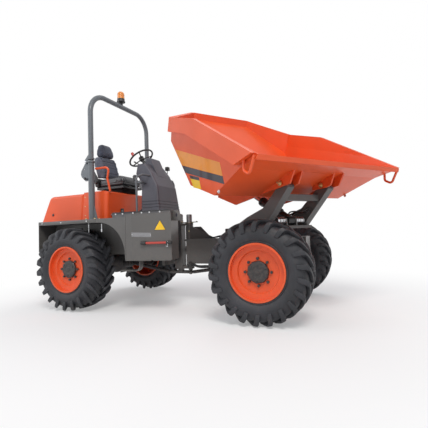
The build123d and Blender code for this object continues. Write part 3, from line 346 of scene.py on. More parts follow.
NODE_FINISH = (
    (chassis_paint, (
        "rear_frame", "side_tanks", "fenders", "steps", "tow_lug", "pivot_yoke", "front_frame",
        "turret_frame",
    )),
    (axle_paint, ("rear_axle", "front_axle")),
    (deck_studs, ("platform_deck",)),
    (orange_paint, ("tail_panel", "seat_box", "grab_rails", "engine_hood", "skip_shell", "skip_underframe")),
    (orange_paint, [f"rim_{place}" for place in WHEELS]),
    (hoop_paint, ("rops_posts", "rops_hoop", "handrails")),
    (black_paint, ("seat_suspension", "steer_barrel", "slew_ring", "slew_motor", "tip_barrel")),
    (black_paint, [f"hub_{place}" for place in WHEELS]),
    (black_plastic, ("steering_wheel", "beacon_base")),
    (console_plastic, ("console",)),
    (red_paint, ("lock_bar",)),
    (chrome, ("steer_rod", "tip_rod")),
    (engine_metal, ("engine_block",)),
    (amber_lens, ("beacon_lens",)),
    (seat_cloth, ("seat_cushion", "seat_backrest")),
    (tyre_rubber, [f"tyre_{place}" for place in WHEELS]),
)
for material, names in NODE_FINISH:
    for name in names:
        mesh = frame["nodes"][name].data
        mesh.materials.clear()
        mesh.materials.append(material)


# ------------------------------------------------------------------ mesh making
def in_scene(name, data):
    """A new object in the scene."""
    made = bpy.data.objects.new(name, data)
    bpy.context.scene.collection.objects.link(made)
    return made


class Part:
    """Vertices and faces of one piece, gathered from simple forms in place."""

    def __init__(self):
        self.bm = bmesh.new()

    def prism(self, outline, shift, place=None, taper=1.0):
        """Solid between an outline of points and its copy moved by shift."""
        points = [Vector(p) for p in outline]
        middle = sum(points, Vector()) / len(points)
        far = [middle + (p - middle) * taper + Vector(shift) for p in points]
        if place:
            points, far = [place(*p) for p in points], [place(*p) for p in far]
        low = [self.bm.verts.new(p) for p in points]
        high = [self.bm.verts.new(p) for p in far]
        self.bm.faces.new(low[::-1])
        self.bm.faces.new(high)
        for i in range(len(low)):
            j = (i + 1) % len(low)
            self.bm.faces.new((low[i], low[j], high[j], high[i]))
        return self

    def box(self, low, high, place=at, taper=1.0):
        """Block between two opposite corners, in a place's millimetres."""
        (x0, y0, z0), (x1, y1, z1) = low, high
        outline = [(x0, y0, z0), (x1, y0, z0), (x1, y1, z0), (x0, y1, z0)]
        return self.prism(outline, (0, 0, z1 - z0), place, taper)

    def upright(self, outline, y, thick):
        """Plate of an outline of (ahead, up) points, from y on, all in millimetres."""
        return self.prism([(x, y, z) for x, z in outline], (0, thick, 0), at)

    def rings(self, rows, close=True):
        """Skin over rows of points, each row a closed ring, with flat ends."""
        made = [[self.bm.verts.new(p) for p in row] for row in rows]
        n = len(made[0])
        for a, b in zip(made, made[1:]):
            for i in range(n):
                j = (i + 1) % n
                self.bm.faces.new((a[i], a[j], b[j], b[i]))
        if close:
            self.bm.faces.new(made[0][::-1])
            self.bm.faces.new(made[-1])
        return self

    def lathe(self, profile, centre, axis, count=48, closed=False):
        """Profile of (radius, along) points turned about an axis through centre."""
        axis = Vector(axis).normalized()
        side = axis.orthogonal().normalized()
        other = axis.cross(side)
        rows = []
        for radius, along in profile:
            ring = []
            for angle in turns(count):
                spoke = side * math.cos(angle) + other * math.sin(angle)
                ring.append(Vector(centre) + axis * along + spoke * radius)
            rows.append(ring)
        if closed:
            rows.append(rows[0])
        return self.rings(rows, close=not closed)

    def rod(self, start, end, radius, count=20):
        """Round bar between two points."""
        line = Vector(end) - Vector(start)
        return self.lathe([(radius, 0), (radius, line.length)], start, line, count)

    def finish(self, name, body, material, slot, bevel=0.0, steps=2, smooth=True, angle=35):
        """The gathered mesh as a piece that rides on a body."""
        bmesh.ops.remove_doubles(self.bm, verts=self.bm.verts, dist=1e-6)
        bmesh.ops.recalc_face_normals(self.bm, faces=self.bm.faces)
        mesh = bpy.data.meshes.new(name)
        self.bm.to_mesh(mesh)
        self.bm.free()
        mesh.materials.append(material)
        piece = in_scene(name, mesh)
        if bevel:
            rounding = piece.modifiers.new("Bevel", "BEVEL")
            rounding.width, rounding.segments = bevel, steps
            rounding.limit_method, rounding.angle_limit = "ANGLE", math.radians(30)
            bake(piece)
        if smooth:
            shade(piece, angle)
        if body:
            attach(piece, body)
        return piece


def bake(piece):
    """Applies a piece's modifiers to its mesh."""
    graph = bpy.context.evaluated_depsgraph_get()
    graph.update()
    mesh = bpy.data.meshes.new_from_object(piece.evaluated_get(graph))
    piece.modifiers.clear()
    piece.data = mesh
    return piece


def shade(piece, angle):
    """Smooth shading with sharp edges past the angle."""
    piece.data.shade_smooth()
    piece.data.set_sharp_from_angle(angle=math.radians(angle))


def hose(name, body, points, radius):
    """Hose on one smooth curve."""
    curve = bpy.data.curves.new(name, "CURVE")
    curve.dimensions = "3D"
    spline = curve.splines.new("NURBS")
    spline.points.add(len(points) - 1)
    for spot, point in zip(spline.points, points):
        spot.co = (*point, 1)
    spline.order_u = 3
    spline.use_endpoint_u = True
    spline.resolution_u = 10
    piece = in_scene(name, curve)
    graph = bpy.context.evaluated_depsgraph_get()
    graph.update()
    line = bpy.data.meshes.new_from_object(piece.evaluated_get(graph))
    curve.bevel_depth = radius
    curve.bevel_resolution = 4
    curve.use_fill_caps = True
    curve.materials.append(hose_rubber)
    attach(piece, body)


# --------------------------------------------------------------- camera, lights
CAMERA_AT = at(2303.4, -4288.3, 957.1)
LOOK = Vector((-0.40684, 0.91199, 0.05256)).normalized()
ROLL = -0.036
LENS = 28.61
FLOOR_REACH, FLOOR_UP = 40, -0.001  # a hair under the tyres


def place_camera():
    """Camera at the viewing angle, level but for a slight roll."""
    right = LOOK.cross(UP).normalized()
    up = right.cross(LOOK)
    c, s = math.cos(ROLL), math.sin(ROLL)
    right, up = right * c + up * s, up * c - right * s
    camera = bpy.data.cameras.new("camera")
    camera.lens, camera.sensor_width, camera.clip_end = LENS, 36, 200
    eye = in_scene("camera", camera)
    eye.matrix_world = Matrix.Translation(CAMERA_AT) @ Matrix((right, up, -LOOK)).transposed().to_4x4()
    bpy.context.scene.camera = eye


def lamp(name, place, target, size, power, colour=(1, 1, 1)):
    """Soft round lamp that faces its target."""
    light = bpy.data.lights.new(name, "AREA")
    light.shape, light.size, light.energy, light.color = "DISK", size, power, colour
    made = in_scene(name, light)
    line = Vector(target) - Vector(place)
    made.matrix_world = Matrix.Translation(place) @ line.to_track_quat("-Z", "Y").to_matrix().to_4x4()
    return made


def studio():
    """Pale floor, white surroundings and three soft lamps."""
    world = bpy.data.worlds.new("studio")
    bpy.context.scene.world = world
    world.use_nodes = True
    tree = world.node_tree
    ray = tree.nodes.new("ShaderNodeLightPath")
    seen = ray.outputs["Is Camera Ray"]
    for kind in ("Is Glossy Ray", "Is Transmission Ray"):
        either = tree.nodes.new("ShaderNodeMath")
        either.operation = "MAXIMUM"
        tree.links.new(seen, either.inputs[0])
        tree.links.new(ray.outputs[kind], either.inputs[1])
        seen = either.outputs[0]
    blend = tree.nodes.new("ShaderNodeMixShader")
    tree.links.new(seen, blend.inputs[0])
    for slot, colour, strength in ((1, (0.86, 0.9, 1.0, 1), 0.4), (2, (1, 1, 1, 1), 1.0)):
        sky = tree.nodes.new("ShaderNodeBackground")
        sky.inputs["Color"].default_value = colour
        sky.inputs["Strength"].default_value = strength
        tree.links.new(sky.outputs[0], blend.inputs[slot])
    tree.links.new(blend.outputs[0], tree.nodes["World Output"].inputs[0])

    floor = Part()
    rim = [Vector((FLOOR_REACH * math.cos(a), FLOOR_REACH * math.sin(a), FLOOR_UP)) for a in turns(64)]
    floor.bm.faces.new([floor.bm.verts.new(p) for p in rim])
    finish = Finish("studio floor", rough=0.9, Base_Color=(0.9, 0.9, 0.9))
    tree = finish.tree
    reach = finish.node("VectorMath", {"operation": "LENGTH"}, finish.place, out="Value")
    white = tree.nodes.new("ShaderNodeEmission")
    white.inputs["Color"].default_value = (1, 1, 1, 1)
    seen = finish.node("LightPath", {}, out="Is Camera Ray")
    seen = seen.maths("MAXIMUM", finish.node("LightPath", {}, out="Is Glossy Ray"))
    away = reach.ramp(1.2, 5.0) * 0.72 + 0.28
    mix = tree.nodes.new("ShaderNodeMixShader")
    finish.feed(mix.inputs[0], away * seen)
    tree.links.new(finish.shader.outputs[0], mix.inputs[1])
    tree.links.new(white.outputs[0], mix.inputs[2])
    tree.links.new(mix.outputs[0], tree.nodes["Material Output"].inputs[0])
    ground = floor.finish("floor", None, finish.material, None, smooth=False)

    target = at(0, 0, 900)
    lamp("key", target + Vector((3.5, -6.0, 7.5)), target, 3.6, 560, (1.0, 0.97, 0.93))
    lamp("fill", target + Vector((-6.5, -5.0, 4.0)), target, 6.0, 150, (0.93, 0.96, 1.0))
    lamp("back", target + Vector((-1.0, 7.0, 6.5)), target, 6.0, 300).visible_glossy = False


bpy.context.scene.view_settings.view_transform = "Standard"
place_camera()
studio()


# ----------------------------------------------------------------------- tyres
TYRE_RADIUS = 0.5375
LUG_COUNT = 22
LUG_LEAN = math.radians(18)  # from the lug's foot ahead to its end at the middle
LUG_PHASE = 0.0316  # where on the wheel the first lug of the right half stands
SHOULDER = 0.14  # farther out than this, a lug's root is tucked in under it
TUCK = 0.032


def lug_mesh():
    """One curved lug of the right half of the tread, its middle end at the top of a wheel."""
    stations = [  # across from the middle, outer radius, turn ahead of the foot, half width, root depth
        (0.008, 0.5373, 18.0, 0.0165, 0.036), (0.040, 0.5370, 14.6, 0.0170, 0.036),
        (0.080, 0.5362, 10.9, 0.0178, 0.036), (0.118, 0.5345, 7.6, 0.0188, 0.036),
        (0.150, 0.5310, 4.9, 0.0205, 0.044), (0.176, 0.5250, 2.7, 0.0225, 0.050),
        (0.192, 0.5080, 1.3, 0.0255, 0.044), (0.1995, 0.4820, 0.5, 0.0280, 0.038),
        (0.2015, 0.4560, 0.1, 0.0285, 0.030), (0.2015, 0.4300, -0.4, 0.0270, 0.022),
        (0.1990, 0.4080, -1.0, 0.0250, 0.012),
    ]
    rows = []
    for across, radius, turn, half, depth in stations:
        root = across - (TUCK if across > SHOULDER else 0.0)
        row = []
        for r, w, y in (
            (radius - depth, half * 1.18, root), (radius, half, across),
            (radius, -half, across), (radius - depth, -half * 1.18, root),
        ):
            angle = math.radians(turn) - LUG_LEAN + w / TYRE_RADIUS
            row.append(Vector((r * math.sin(angle), -y, r * math.cos(angle))))
        rows.append(row)
    return Part().rings(rows).finish("lug", None, tyre_rubber, None, bevel=0.0045, smooth=False)


def copies_tree(name, inputs, lay_out):
    """Geometry Nodes: copies of a fitting in one finish, laid out by the nodes of a function."""
    tree = bpy.data.node_groups.new(name, "GeometryNodeTree")
    kinds = {"Geometry": "Geometry", "Fitting": "Object", "Finish": "Material", **inputs}
    for label, kind in kinds.items():
        tree.interface.new_socket(label, in_out="INPUT", socket_type="NodeSocket" + kind)
    tree.interface.new_socket("Geometry", in_out="OUTPUT", socket_type="NodeSocketGeometry")
    new, link = tree.nodes.new, tree.links.new
    given, result = new("NodeGroupInput"), new("NodeGroupOutput")
    source = new("GeometryNodeObjectInfo")
    link(given.outputs["Fitting"], source.inputs["Object"])
    copies = new("GeometryNodeInstanceOnPoints")
    link(source.outputs["Geometry"], copies.inputs["Instance"])
    lay_out(new, link, given.outputs, copies.inputs)
    solid = new("GeometryNodeRealizeInstances")
    link(copies.outputs[0], solid.inputs[0])
    coat = new("GeometryNodeSetMaterial")
    link(solid.outputs[0], coat.inputs["Geometry"])
    link(given.outputs["Finish"], coat.inputs["Material"])
    link(coat.outputs[0], result.inputs[0])
    return tree


def round_wheel(new, link, given, copies):
    """Lays copies out evenly about the Y axis, from a first turn on."""
    points = new("GeometryNodePoints")
    link(given["Count"], points.inputs["Count"])
    index = new("GeometryNodeInputIndex")
    share = new("ShaderNodeMath")
    share.operation = "DIVIDE"
    link(index.outputs[0], share.inputs[0])
    link(given["Count"], share.inputs[1])
    angle = new("ShaderNodeMath")
    angle.operation = "MULTIPLY_ADD"
    angle.inputs[1].default_value = math.tau
    link(share.outputs[0], angle.inputs[0])
    link(given["First turn"], angle.inputs[2])
    turn = new("ShaderNodeCombineXYZ")
    link(angle.outputs[0], turn.inputs["Y"])
    link(points.outputs[0], copies["Points"])
    link(turn.outputs[0], copies["Rotation"])


def at_vertices(new, link, given, copies):
    """Lays out one copy at every vertex, all turned and sized alike."""
    for source, target in (("Geometry", "Points"), ("Turn", "Rotation"), ("Size", "Scale")):
        link(given[source], copies[target])


def grow(piece, tree, **values):
    """Runs a tree on a piece, with its inputs set by name, and keeps the result as a mesh."""
    made = piece.modifiers.new("Grow", "NODES")
    made.node_group = tree
    for item in tree.interface.items_tree:
        if item.in_out == "INPUT" and item.name in values:
            made[item.identifier] = values[item.name]
    return bake(piece)


def carcass():
    """Tyre without its lugs: bead, bulged sidewalls, shoulder and crown."""
    half = [
        (0.286, -0.164), (0.298, -0.166), (0.312, -0.170), (0.318, -0.166), (0.330, -0.176),
        (0.362, -0.190), (0.388, -0.1930), (0.412, -0.1875), (0.440, -0.178), (0.464, -0.166),
        (0.482, -0.148), (0.494, -0.120), (0.499, -0.08), (0.502, -0.03),
    ]
    profile = half + [(r, -y) for r, y in reversed(half)]
    profile += [(0.300, 0.13), (0.40, 0.165), (0.455, 0.14), (0.46, -0.14), (0.40, -0.165), (0.300, -0.13)]
    return Part().lathe(profile, (0, 0, 0), (0, 1, 0), count=96, closed=True)


def make_tyres():
    """The four tyres, each lug run pointing the way the machine drives."""
    lug = lug_mesh()
    mirrored = lug.copy()
    mirrored.data = lug.data.copy()
    mirrored.data.transform(Matrix.Scale(-1, 4, (0, 1, 0)))
    mirrored.data.flip_normals()
    bpy.context.scene.collection.objects.link(mirrored)
    tree = copies_tree("lugs around a tyre", {"Count": "Int", "First turn": "Float"}, round_wheel)
    for place in WHEELS:
        low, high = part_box("tyre_" + place)
        centre = (low + high) / 2
        made = []
        for source, first in ((lug, LUG_PHASE), (mirrored, LUG_PHASE + math.pi / LUG_COUNT)):
            ring = in_scene("ring", bpy.data.meshes.new("ring"))
            grow(ring, tree, Fitting=source, Count=LUG_COUNT, Finish=tyre_rubber, **{"First turn": first})
            made.append(ring)
        body = carcass()
        for ring in made:
            body.bm.from_mesh(ring.data)
            bpy.data.objects.remove(ring)
        for vertex in body.bm.verts:
            vertex.co = vertex.co + centre
        tyre = body.finish("tread_" + place, "wheel_" + place, tyre_rubber, "tyre", angle=28)
        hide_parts("tyre_" + place)
    bpy.data.objects.remove(lug)
    bpy.data.objects.remove(mirrored)


make_tyres()


# ------------------------------------------------------------------- fasteners
def hex_bolt():
    """Hexagon head on a washer, one unit across the corners, standing on its face."""
    bolt = Part()
    bolt.lathe([(0.62, 0.0), (0.62, 0.09), (0.58, 0.11)], (0, 0, 0), UP, 20)
    bolt.lathe([(0.5, 0.1), (0.5, 0.40), (0.44, 0.47), (0.30, 0.485)], (0, 0, 0), UP, 6)
    return bolt.finish("bolt", None, bright_zinc, None, smooth=False)


bolt_form = hex_bolt()
spread = copies_tree("fittings at places", {"Turn": "Vector", "Size": "Float"}, at_vertices)


def fasteners(name, body, places, facing, size, material=bright_zinc):
    """Bolts at places in metres, all facing one way, as one piece."""
    mesh = bpy.data.meshes.new(name)
    mesh.from_pydata([tuple(p) for p in places], [], [])
    piece = in_scene(name, mesh)
    turn = Vector(facing).to_track_quat("Z", "Y").to_euler()
    grow(piece, spread, Fitting=bolt_form, Turn=tuple(turn), Size=size, Finish=material)
    shade(piece, 30)
    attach(piece, body)


FILM_GAP = 0.0004  # from a panel to the back of its film
FILM_THICK = 0.0008


def film(name, body, corners, away, material):
    """Thin printed film on a flat panel, between corners in metres, away from the panel."""
    out = Vector(away).normalized()
    layer = Part().prism([p + out * FILM_GAP for p in corners], out * FILM_THICK)
    layer.finish(name, body, material, "black_plastic", smooth=False)


def pin_end(name, body, place, facing, radius, material=zinc):
    """Plated pin end: collar, chamfered end and the grease nipple in its middle."""
    profile = (
        (1.45, 0), (1.45, 0.004), (1, 0.0045), (1, 0.012), (0.86, 0.0145),
        (0.3, 0.015), (0.3, 0.020), (0.16, 0.023), (0.16, 0.026),
    )
    end = Part().lathe([(radius * share, along) for share, along in profile], place, facing, 32)
    end.finish(name, body, material, "black_metal")


# ------------------------------------------------------------------------ skip
WALL_FOOT, WALL_TOP = 953, 1003  # from the skip's middle to the outside of its side wall
FOOT_UP, TOP_UP = -214, 380
OVERLAP = 0.0008  # lifts a film that lies on another


def wall_at(w, side):
    """Distance from the skip's middle to the outside of its side wall at height w."""
    lean = (WALL_TOP - WALL_FOOT) / (TOP_UP - FOOT_UP)
    return side * min(WALL_TOP, WALL_FOOT + lean * (w - FOOT_UP))


def skip_films():
    """Plain colour fields where the skip's sides carry their films."""
    fields = (
        ("patch", ((-1442, 168), (-262, 145), (-186, 17), (-1205, -8)), amber_film, 0.0),
        ("band", ((-1208, -10), (-184, 15), (-146, -58), (-1100, -86)), black_film, OVERLAP),
        ("note_top", ((-984, -98), (-722, -82), (-702, -116), (-944, -132)), black_film, 0.0),
        ("note", ((-944, -133), (-702, -117), (-648, -209), (-852, -224)), yellow_film, OVERLAP),
    )
    for side, name in SIDES:
        for field, corners, material, lift in fields:
            points = [on_skip(a, wall_at(w, side), w) for a, w in corners]
            out = (points[1] - points[0]).cross(points[2] - points[1]).normalized()
            if out.dot(ACROSS * side) < 0:
                out = -out
            film(f"film_{field}_{name}", "skip", [p + out * lift for p in points], out, material)


def skip_fittings():
    """Plugs on the skip's sides, and pin ends with their bolted keepers on its plates."""
    for side, name in SIDES:
        flat = ACROSS * side
        pin_end(f"plug_{name}", "skip", on_skip(-245, wall_at(-154, side), -154), flat, 0.013, bright_zinc)
        pin_end(f"tip_pin_end_{name}", "skip", on_skip(0, side * 381, 0), flat, PIN_RADIUS)
        keeper = Part().box((-62, side * 371, -14), (20, side * 377, 14), on_skip)
        keeper.finish(f"pin_keeper_{name}", "skip", *ORANGE_COAT, bevel=0.002)
        fasteners(f"keeper_bolt_{name}", "skip", [on_skip(-46, side * 377, 0)], flat, 0.020, zinc)


RIPPLE = 0.009


def beads(name, body, start, end, radius, look):
    """Weld bead: a low run of overlapping ripples between two points."""
    line = end - start
    rows = 2 * max(2, int(line.length / RIPPLE))
    profile = []
    for i in range(rows + 1):
        swell = radius * (1.0 if i % 2 else 0.86)
        profile.append((swell if 0 < i < rows else radius * 0.4, line.length * i / rows))
    Part().lathe(profile, start, line, 8).finish(name, body, *look, angle=60)


def skip_welds():
    """Weld runs inside the skip, and along its underframe."""
    inside = [
        ((-930, 941, -200), (-340, 941, -200)), ((-340, 941, -200), (110, 972, 150)),
        ((110, 972, 150), (366, 984, 286)), ((-1578, 990, 262), (-1578, 990, 560)),
        ((-940, 944, -196), (-1578, 990, 262)),
    ]
    under = []
    for h in (346, 374):
        under += [((-900, h, -216), (-345, h, -216)), ((-335, h, -212), (100, h, 126))]
    for kind, runs, radius in (("inside", inside, 0.006), ("under", under, 0.005)):
        both = [[on_skip(a, side * h, w) for a, h, w in ends] for side in (-1, 1) for ends in runs]
        for number, (start, end) in enumerate(both):
            beads(f"{kind}_weld_{number}", "skip", start, end, radius, ORANGE_COAT)


skip_films()
skip_fittings()
skip_welds()


# ------------------------------------------------------------- turret, hydraulics
def port(part, place, facing, size):
    """Hose fitting: hexagon nut and ferrule."""
    part.lathe([(size, 0), (size, size * 1.1)], place, facing, 6)
    part.lathe([(size * 0.72, size), (size * 0.78, size * 3.2), (size * 0.66, size * 3.4)], place, facing, 20)


def turret_hydraulics():
    """Rings and spacers on the ram's base pin, its hoses and the block that feeds them."""
    bore = 0.0305
    ring_rows = (  # along the pin, radius, width
        (84, 44, 8), (96, 38, 10), (110, 41, 12), (126, 37, 20), (150, 42, 8), (162, 36, 26), (190, 43, 9),
    )
    for side, name in SIDES:
        rings = Part()
        for start, radius, width in ring_rows:
            r, w, edge = radius / 1000, width / 1000, 0.002
            profile = [(bore, 0), (r - edge, 0), (r, edge), (r, w - edge), (r - edge, w), (bore, w)]
            rings.lathe(profile, on_turret(470, side * start, 1062), ACROSS * side, 36, closed=True)
        rings.finish(f"base_pin_rings_{name}", "turret", *BRIGHT)
    block = Part()
    for side in (-1, 1):
        for outer, inner, base, rise in ((196, 72, 1001, 62), (184, 140, 1063, 30), (124, 84, 1063, 40)):
            block.box((300, side * outer, base), (392, side * inner, base + rise), on_turret)
    block.finish("feed_block", "turret", *BLACK_METAL, bevel=0.003)
    runs = (  # across, the port's height, the hose's top and its end
        (-162, 1093, 1150, 1186), (-104, 1103, 1166, 1216), (104, 1103, 1162, 1212), (162, 1093, 1147, 1180),
    )
    nuts = Part()
    for v, low, _, _ in runs:
        port(nuts, on_turret(346, v, low), UP, 0.011)
    nuts.finish("feed_block_ports", "turret", *BRIGHT)
    for number, (v, low, top, end) in enumerate(runs):
        side = math.copysign(1, v)
        points = [
            (346, v, low + 26), (354, v, top), (420, v * 1.08, top + 8), (498, v * 1.2, top),
            (552, v + side * 44, top + 4), (562, side * 222, end - 12), (538, side * 243, end),
        ]
        hose(f"turret_hose_{number}", "turret", [on_turret(*p) for p in points], 0.0085)


def pin_fittings():
    """Pin ends on the inner faces of the skip's plates."""
    for side, name in SIDES:
        pin_end(f"inner_pin_end_{name}", "skip", on_skip(0, side * 218, 0), ACROSS * -side, PIN_RADIUS)


turret_hydraulics()
pin_fittings()

# ------------------------------------------------------------------------ seat
VOXEL = 0.0075
CLOTH_STEPS = 20


def stuffed(name, rough, material, side_material, edge, cap, grooves):
    """Padded piece: a rough form remeshed, blown up as cloth, creased at its seams and smoothed.

    Beyond edge to either side of the middle its faces take the side material. A groove
    is a function that gives, for a point in millimetres, how deep the seam is there."""
    piece = rough.finish(name, None, material, None, bevel=0.03, steps=4, smooth=False)
    remesh = piece.modifiers.new("Remesh", "REMESH")
    remesh.mode, remesh.voxel_size = "VOXEL", VOXEL
    bake(piece)
    before = [vertex.co.copy() for vertex in piece.data.vertices]
    cloth = piece.modifiers.new("Cloth", "CLOTH")
    cloth.settings.use_pressure = True
    cloth.settings.uniform_pressure_force = 4.0
    cloth.settings.effector_weights.gravity = 0.0
    cloth.point_cache.frame_start, cloth.point_cache.frame_end = 1, CLOTH_STEPS
    for number in range(1, CLOTH_STEPS + 1):
        bpy.context.scene.frame_set(number)
    bake(piece)
    bpy.context.scene.frame_set(1)
    for vertex, old in zip(piece.data.vertices, before):
        move = vertex.co - old
        if move.length > cap:
            vertex.co = old + move * (cap / move.length)
    fine = piece.modifiers.new("Subdivision", "SUBSURF")
    fine.levels = fine.render_levels = 1
    bake(piece)
    origin = at(0, 0, 0)
    outward = [vertex.normal.copy() for vertex in piece.data.vertices]
    for vertex, normal in zip(piece.data.vertices, outward):
        depth = grooves((vertex.co - origin) * 1000)
        if depth > 0.05:
            vertex.co -= normal * (depth / 1000)
    piece.data.materials.clear()
    piece.data.materials.append(material)
    piece.data.materials.append(side_material)
    for face in piece.data.polygons:
        face.material_index = 1 if abs(face.center.y - origin.y) > edge / 1000 else 0
    piece.data.shade_smooth()
    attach(piece, REAR)
    return piece


def dip(distance, width, depth):
    """Depth of a rounded groove at a distance from its line."""
    return depth * math.exp(-((distance / width) ** 2))


def cushion_seams(p):
    """Two seams along the cushion, one across between them, and one low around it."""
    along = dip(abs(p.y) - 152, 7, 9) * (p.z > 1770)
    across = dip(p.x + 1118, 8, 8) * (abs(p.y) < 152) * (p.z > 1770)
    return along + across + dip(p.z - 1752, 5, 5) * (p.x > -1430)


def back_seams(p):
    """Two seams up the backrest and three sewn channels across its middle."""
    up = dip(abs(p.y) - 158, 6, 9) * (p.x > -1500)
    channels = sum(dip(p.z - z, 7, 6) for z in (1945, 2040, 2130))
    return up + channels * (abs(p.y) < 158) * (p.x > -1480)


def head_seams(p):
    """Two seams up the headrest."""
    return dip(abs(p.y) - 88, 6, 6) * (p.x > -1560) * (p.z < 2410)


def even_rows(stations, shape):
    """Rings alike on both sides. A station is height, front, rear and half width, and shape
    gives the right half's outline as places ahead and shares of the half width."""
    rows = []
    for z, front, rear, half in stations:
        outline = shape(front, rear, half)
        right = [at(x, -half * share, z) for x, share in outline]
        rows.append(right + [at(x, half * share, z) for x, share in outline[::-1]])
    return rows


def seat():
    """Cushion, backrest and headrest, and the posts, plates, bellows and knobs about them."""
    outline = [
        (-1452, 1712), (-985, 1712), (-962, 1765), (-980, 1825), (-1065, 1852), (-1375, 1822), (-1452, 1822),
    ]
    cushion = Part().prism([at(x, -222, z) for x, z in outline], (0, 0.444, 0))
    piece = stuffed("seat_cushion_cover", cushion, seat_vinyl, seat_vinyl, 400, 0.016, cushion_seams)
    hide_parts("seat_cushion")
    stations = (
        (1856, -1398, -1490, 214), (1960, -1412, -1520, 226), (2060, -1434, -1552, 224),
        (2150, -1455, -1575, 204), (2205, -1472, -1582, 176), (2222, -1490, -1572, 150),
    )
    back = Part().rings(even_rows(stations, lambda front, rear, half: [
        (front, 0.62), (front + min(24, half * 0.12), 0.86), (front - 12, 1), (rear, 0.94),
    ]))
    piece = stuffed("backrest_cover", back, seat_cloth, bolster_cloth, 158, 0.014, back_seams)
    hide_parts("seat_backrest")
    stations = (
        (2212, -1448, -1560, 140), (2262, -1440, -1572, 152), (2320, -1446, -1574, 146),
        (2385, -1462, -1572, 122), (2425, -1484, -1562, 94),
    )
    head = Part().rings(even_rows(stations, lambda front, rear, half: [
        (front, 0.7), (front - 16, 1), (rear, 0.92),
    ]))
    stuffed("headrest_cover", head, seat_cloth, bolster_cloth, 400, 0.009, head_seams)
    posts = Part()
    for y in (-60, 60):
        posts.rod(at(-1540, y, 2190), at(-1550, y, 2275), 0.0075)
    posts.finish("headrest_posts", REAR, chrome, "rod_chrome")
    shell = Part()
    for side in (-1, 1):
        outline = [(-1500, 1716), (-1440, 1716), (-1452, 1860), (-1532, 1990), (-1560, 1975)]
        shell.upright(outline, side * 232, side * 6)
    shell.finish("seat_side_plates", REAR, *PLASTIC, bevel=0.003)
    profile = [(0.024, 0), (0.026, 0.006), (0.026, 0.02), (0.020, 0.028)]
    Part().lathe(profile, at(-1478, -238, 1790), (0, -1, 0), 12).finish("recline_knob", REAR, *PLASTIC)
    rows = []
    for i in range(13):
        out = 8 if i % 2 else -6
        rear, front, half = -1402 - out, -1034 + out, 186 + out
        corners = ((rear, -half), (front, -half), (front, half), (rear, half))
        rows.append([at(x, y, 1594 + i * 6) for x, y in corners])
    Part().rings(rows).finish("seat_bellows", REAR, *PLASTIC, bevel=0.0015, steps=1)
    handle = Part().rod(at(-1000, -120, 1690), at(-944, -120, 1694), 0.007)
    handle.rod(at(-944, -150, 1694), at(-944, -90, 1694), 0.008)
    handle.finish("seat_slide_handle", REAR, *BLACK_METAL)


seat()

# --------------------------------------------------------------------- console
COLUMN_TILT = math.radians(33)
WHEEL_MIDDLE = (-800, 0, 2130)  # of the steering wheel


def dial_panel():
    """Panel under the steering wheel with its dial, switches and lamps."""
    corners = [at(-696, -96, 1968), at(-696, 96, 1968), at(-630, 84, 2062), at(-630, -84, 2062)]
    out = (corners[1] - corners[0]).cross(corners[2] - corners[1]).normalized()
    if out.x > 0:
        out = -out
    rise = (corners[2] - corners[1]).normalized()
    side = Vector((0, 1, 0))
    middle = sum(corners, Vector()) / 4 + out * 0.008
    Part().prism(corners, out * 0.008).finish("dash_panel", REAR, *PLASTIC, bevel=0.004)
    bezel = Part().lathe([(0.037, 0), (0.037, 0.005), (0.033, 0.007), (0.032, 0.004)], middle, out, 40)
    bezel.finish("dial_bezel", REAR, *PLASTIC)
    face = Part().lathe([(0.0315, 0.0), (0.0315, 0.0052)], middle, out, 40)
    face.finish("dial_face", REAR, pale_film, "black_plastic")
    hub = middle + out * 0.0056
    points = ((0.0015, -0.006), (-0.0015, -0.006), (-0.012, 0.022))
    outline = [hub + side * a + rise * b for a, b in points]
    Part().prism(outline, out * 0.001).finish("dial_needle", REAR, red_paint, "paint_red", smooth=False)
    switches, lamps = Part(), Part()
    square = ((-1, -1), (1, -1), (1, 1), (-1, 1))
    for y in (-0.078, -0.056, 0.056, 0.078):
        spot = middle + side * y - rise * 0.022
        switches.rings([
            [spot + side * a * 0.008 + rise * b * 0.012 for a, b in square],
            [spot + side * a * 0.007 + rise * b * 0.011 + out * (0.004 + 0.004 * b) for a, b in square],
        ])
        lamps.lathe([(0.004, 0), (0.004, 0.002), (0.0025, 0.0035)], spot + rise * 0.036, out, 16)
    switches.finish("rocker_switches", REAR, black_paint, "black_plastic", bevel=0.001)
    lamps.finish("dash_lamps", REAR, amber_lens, "amber_lens")


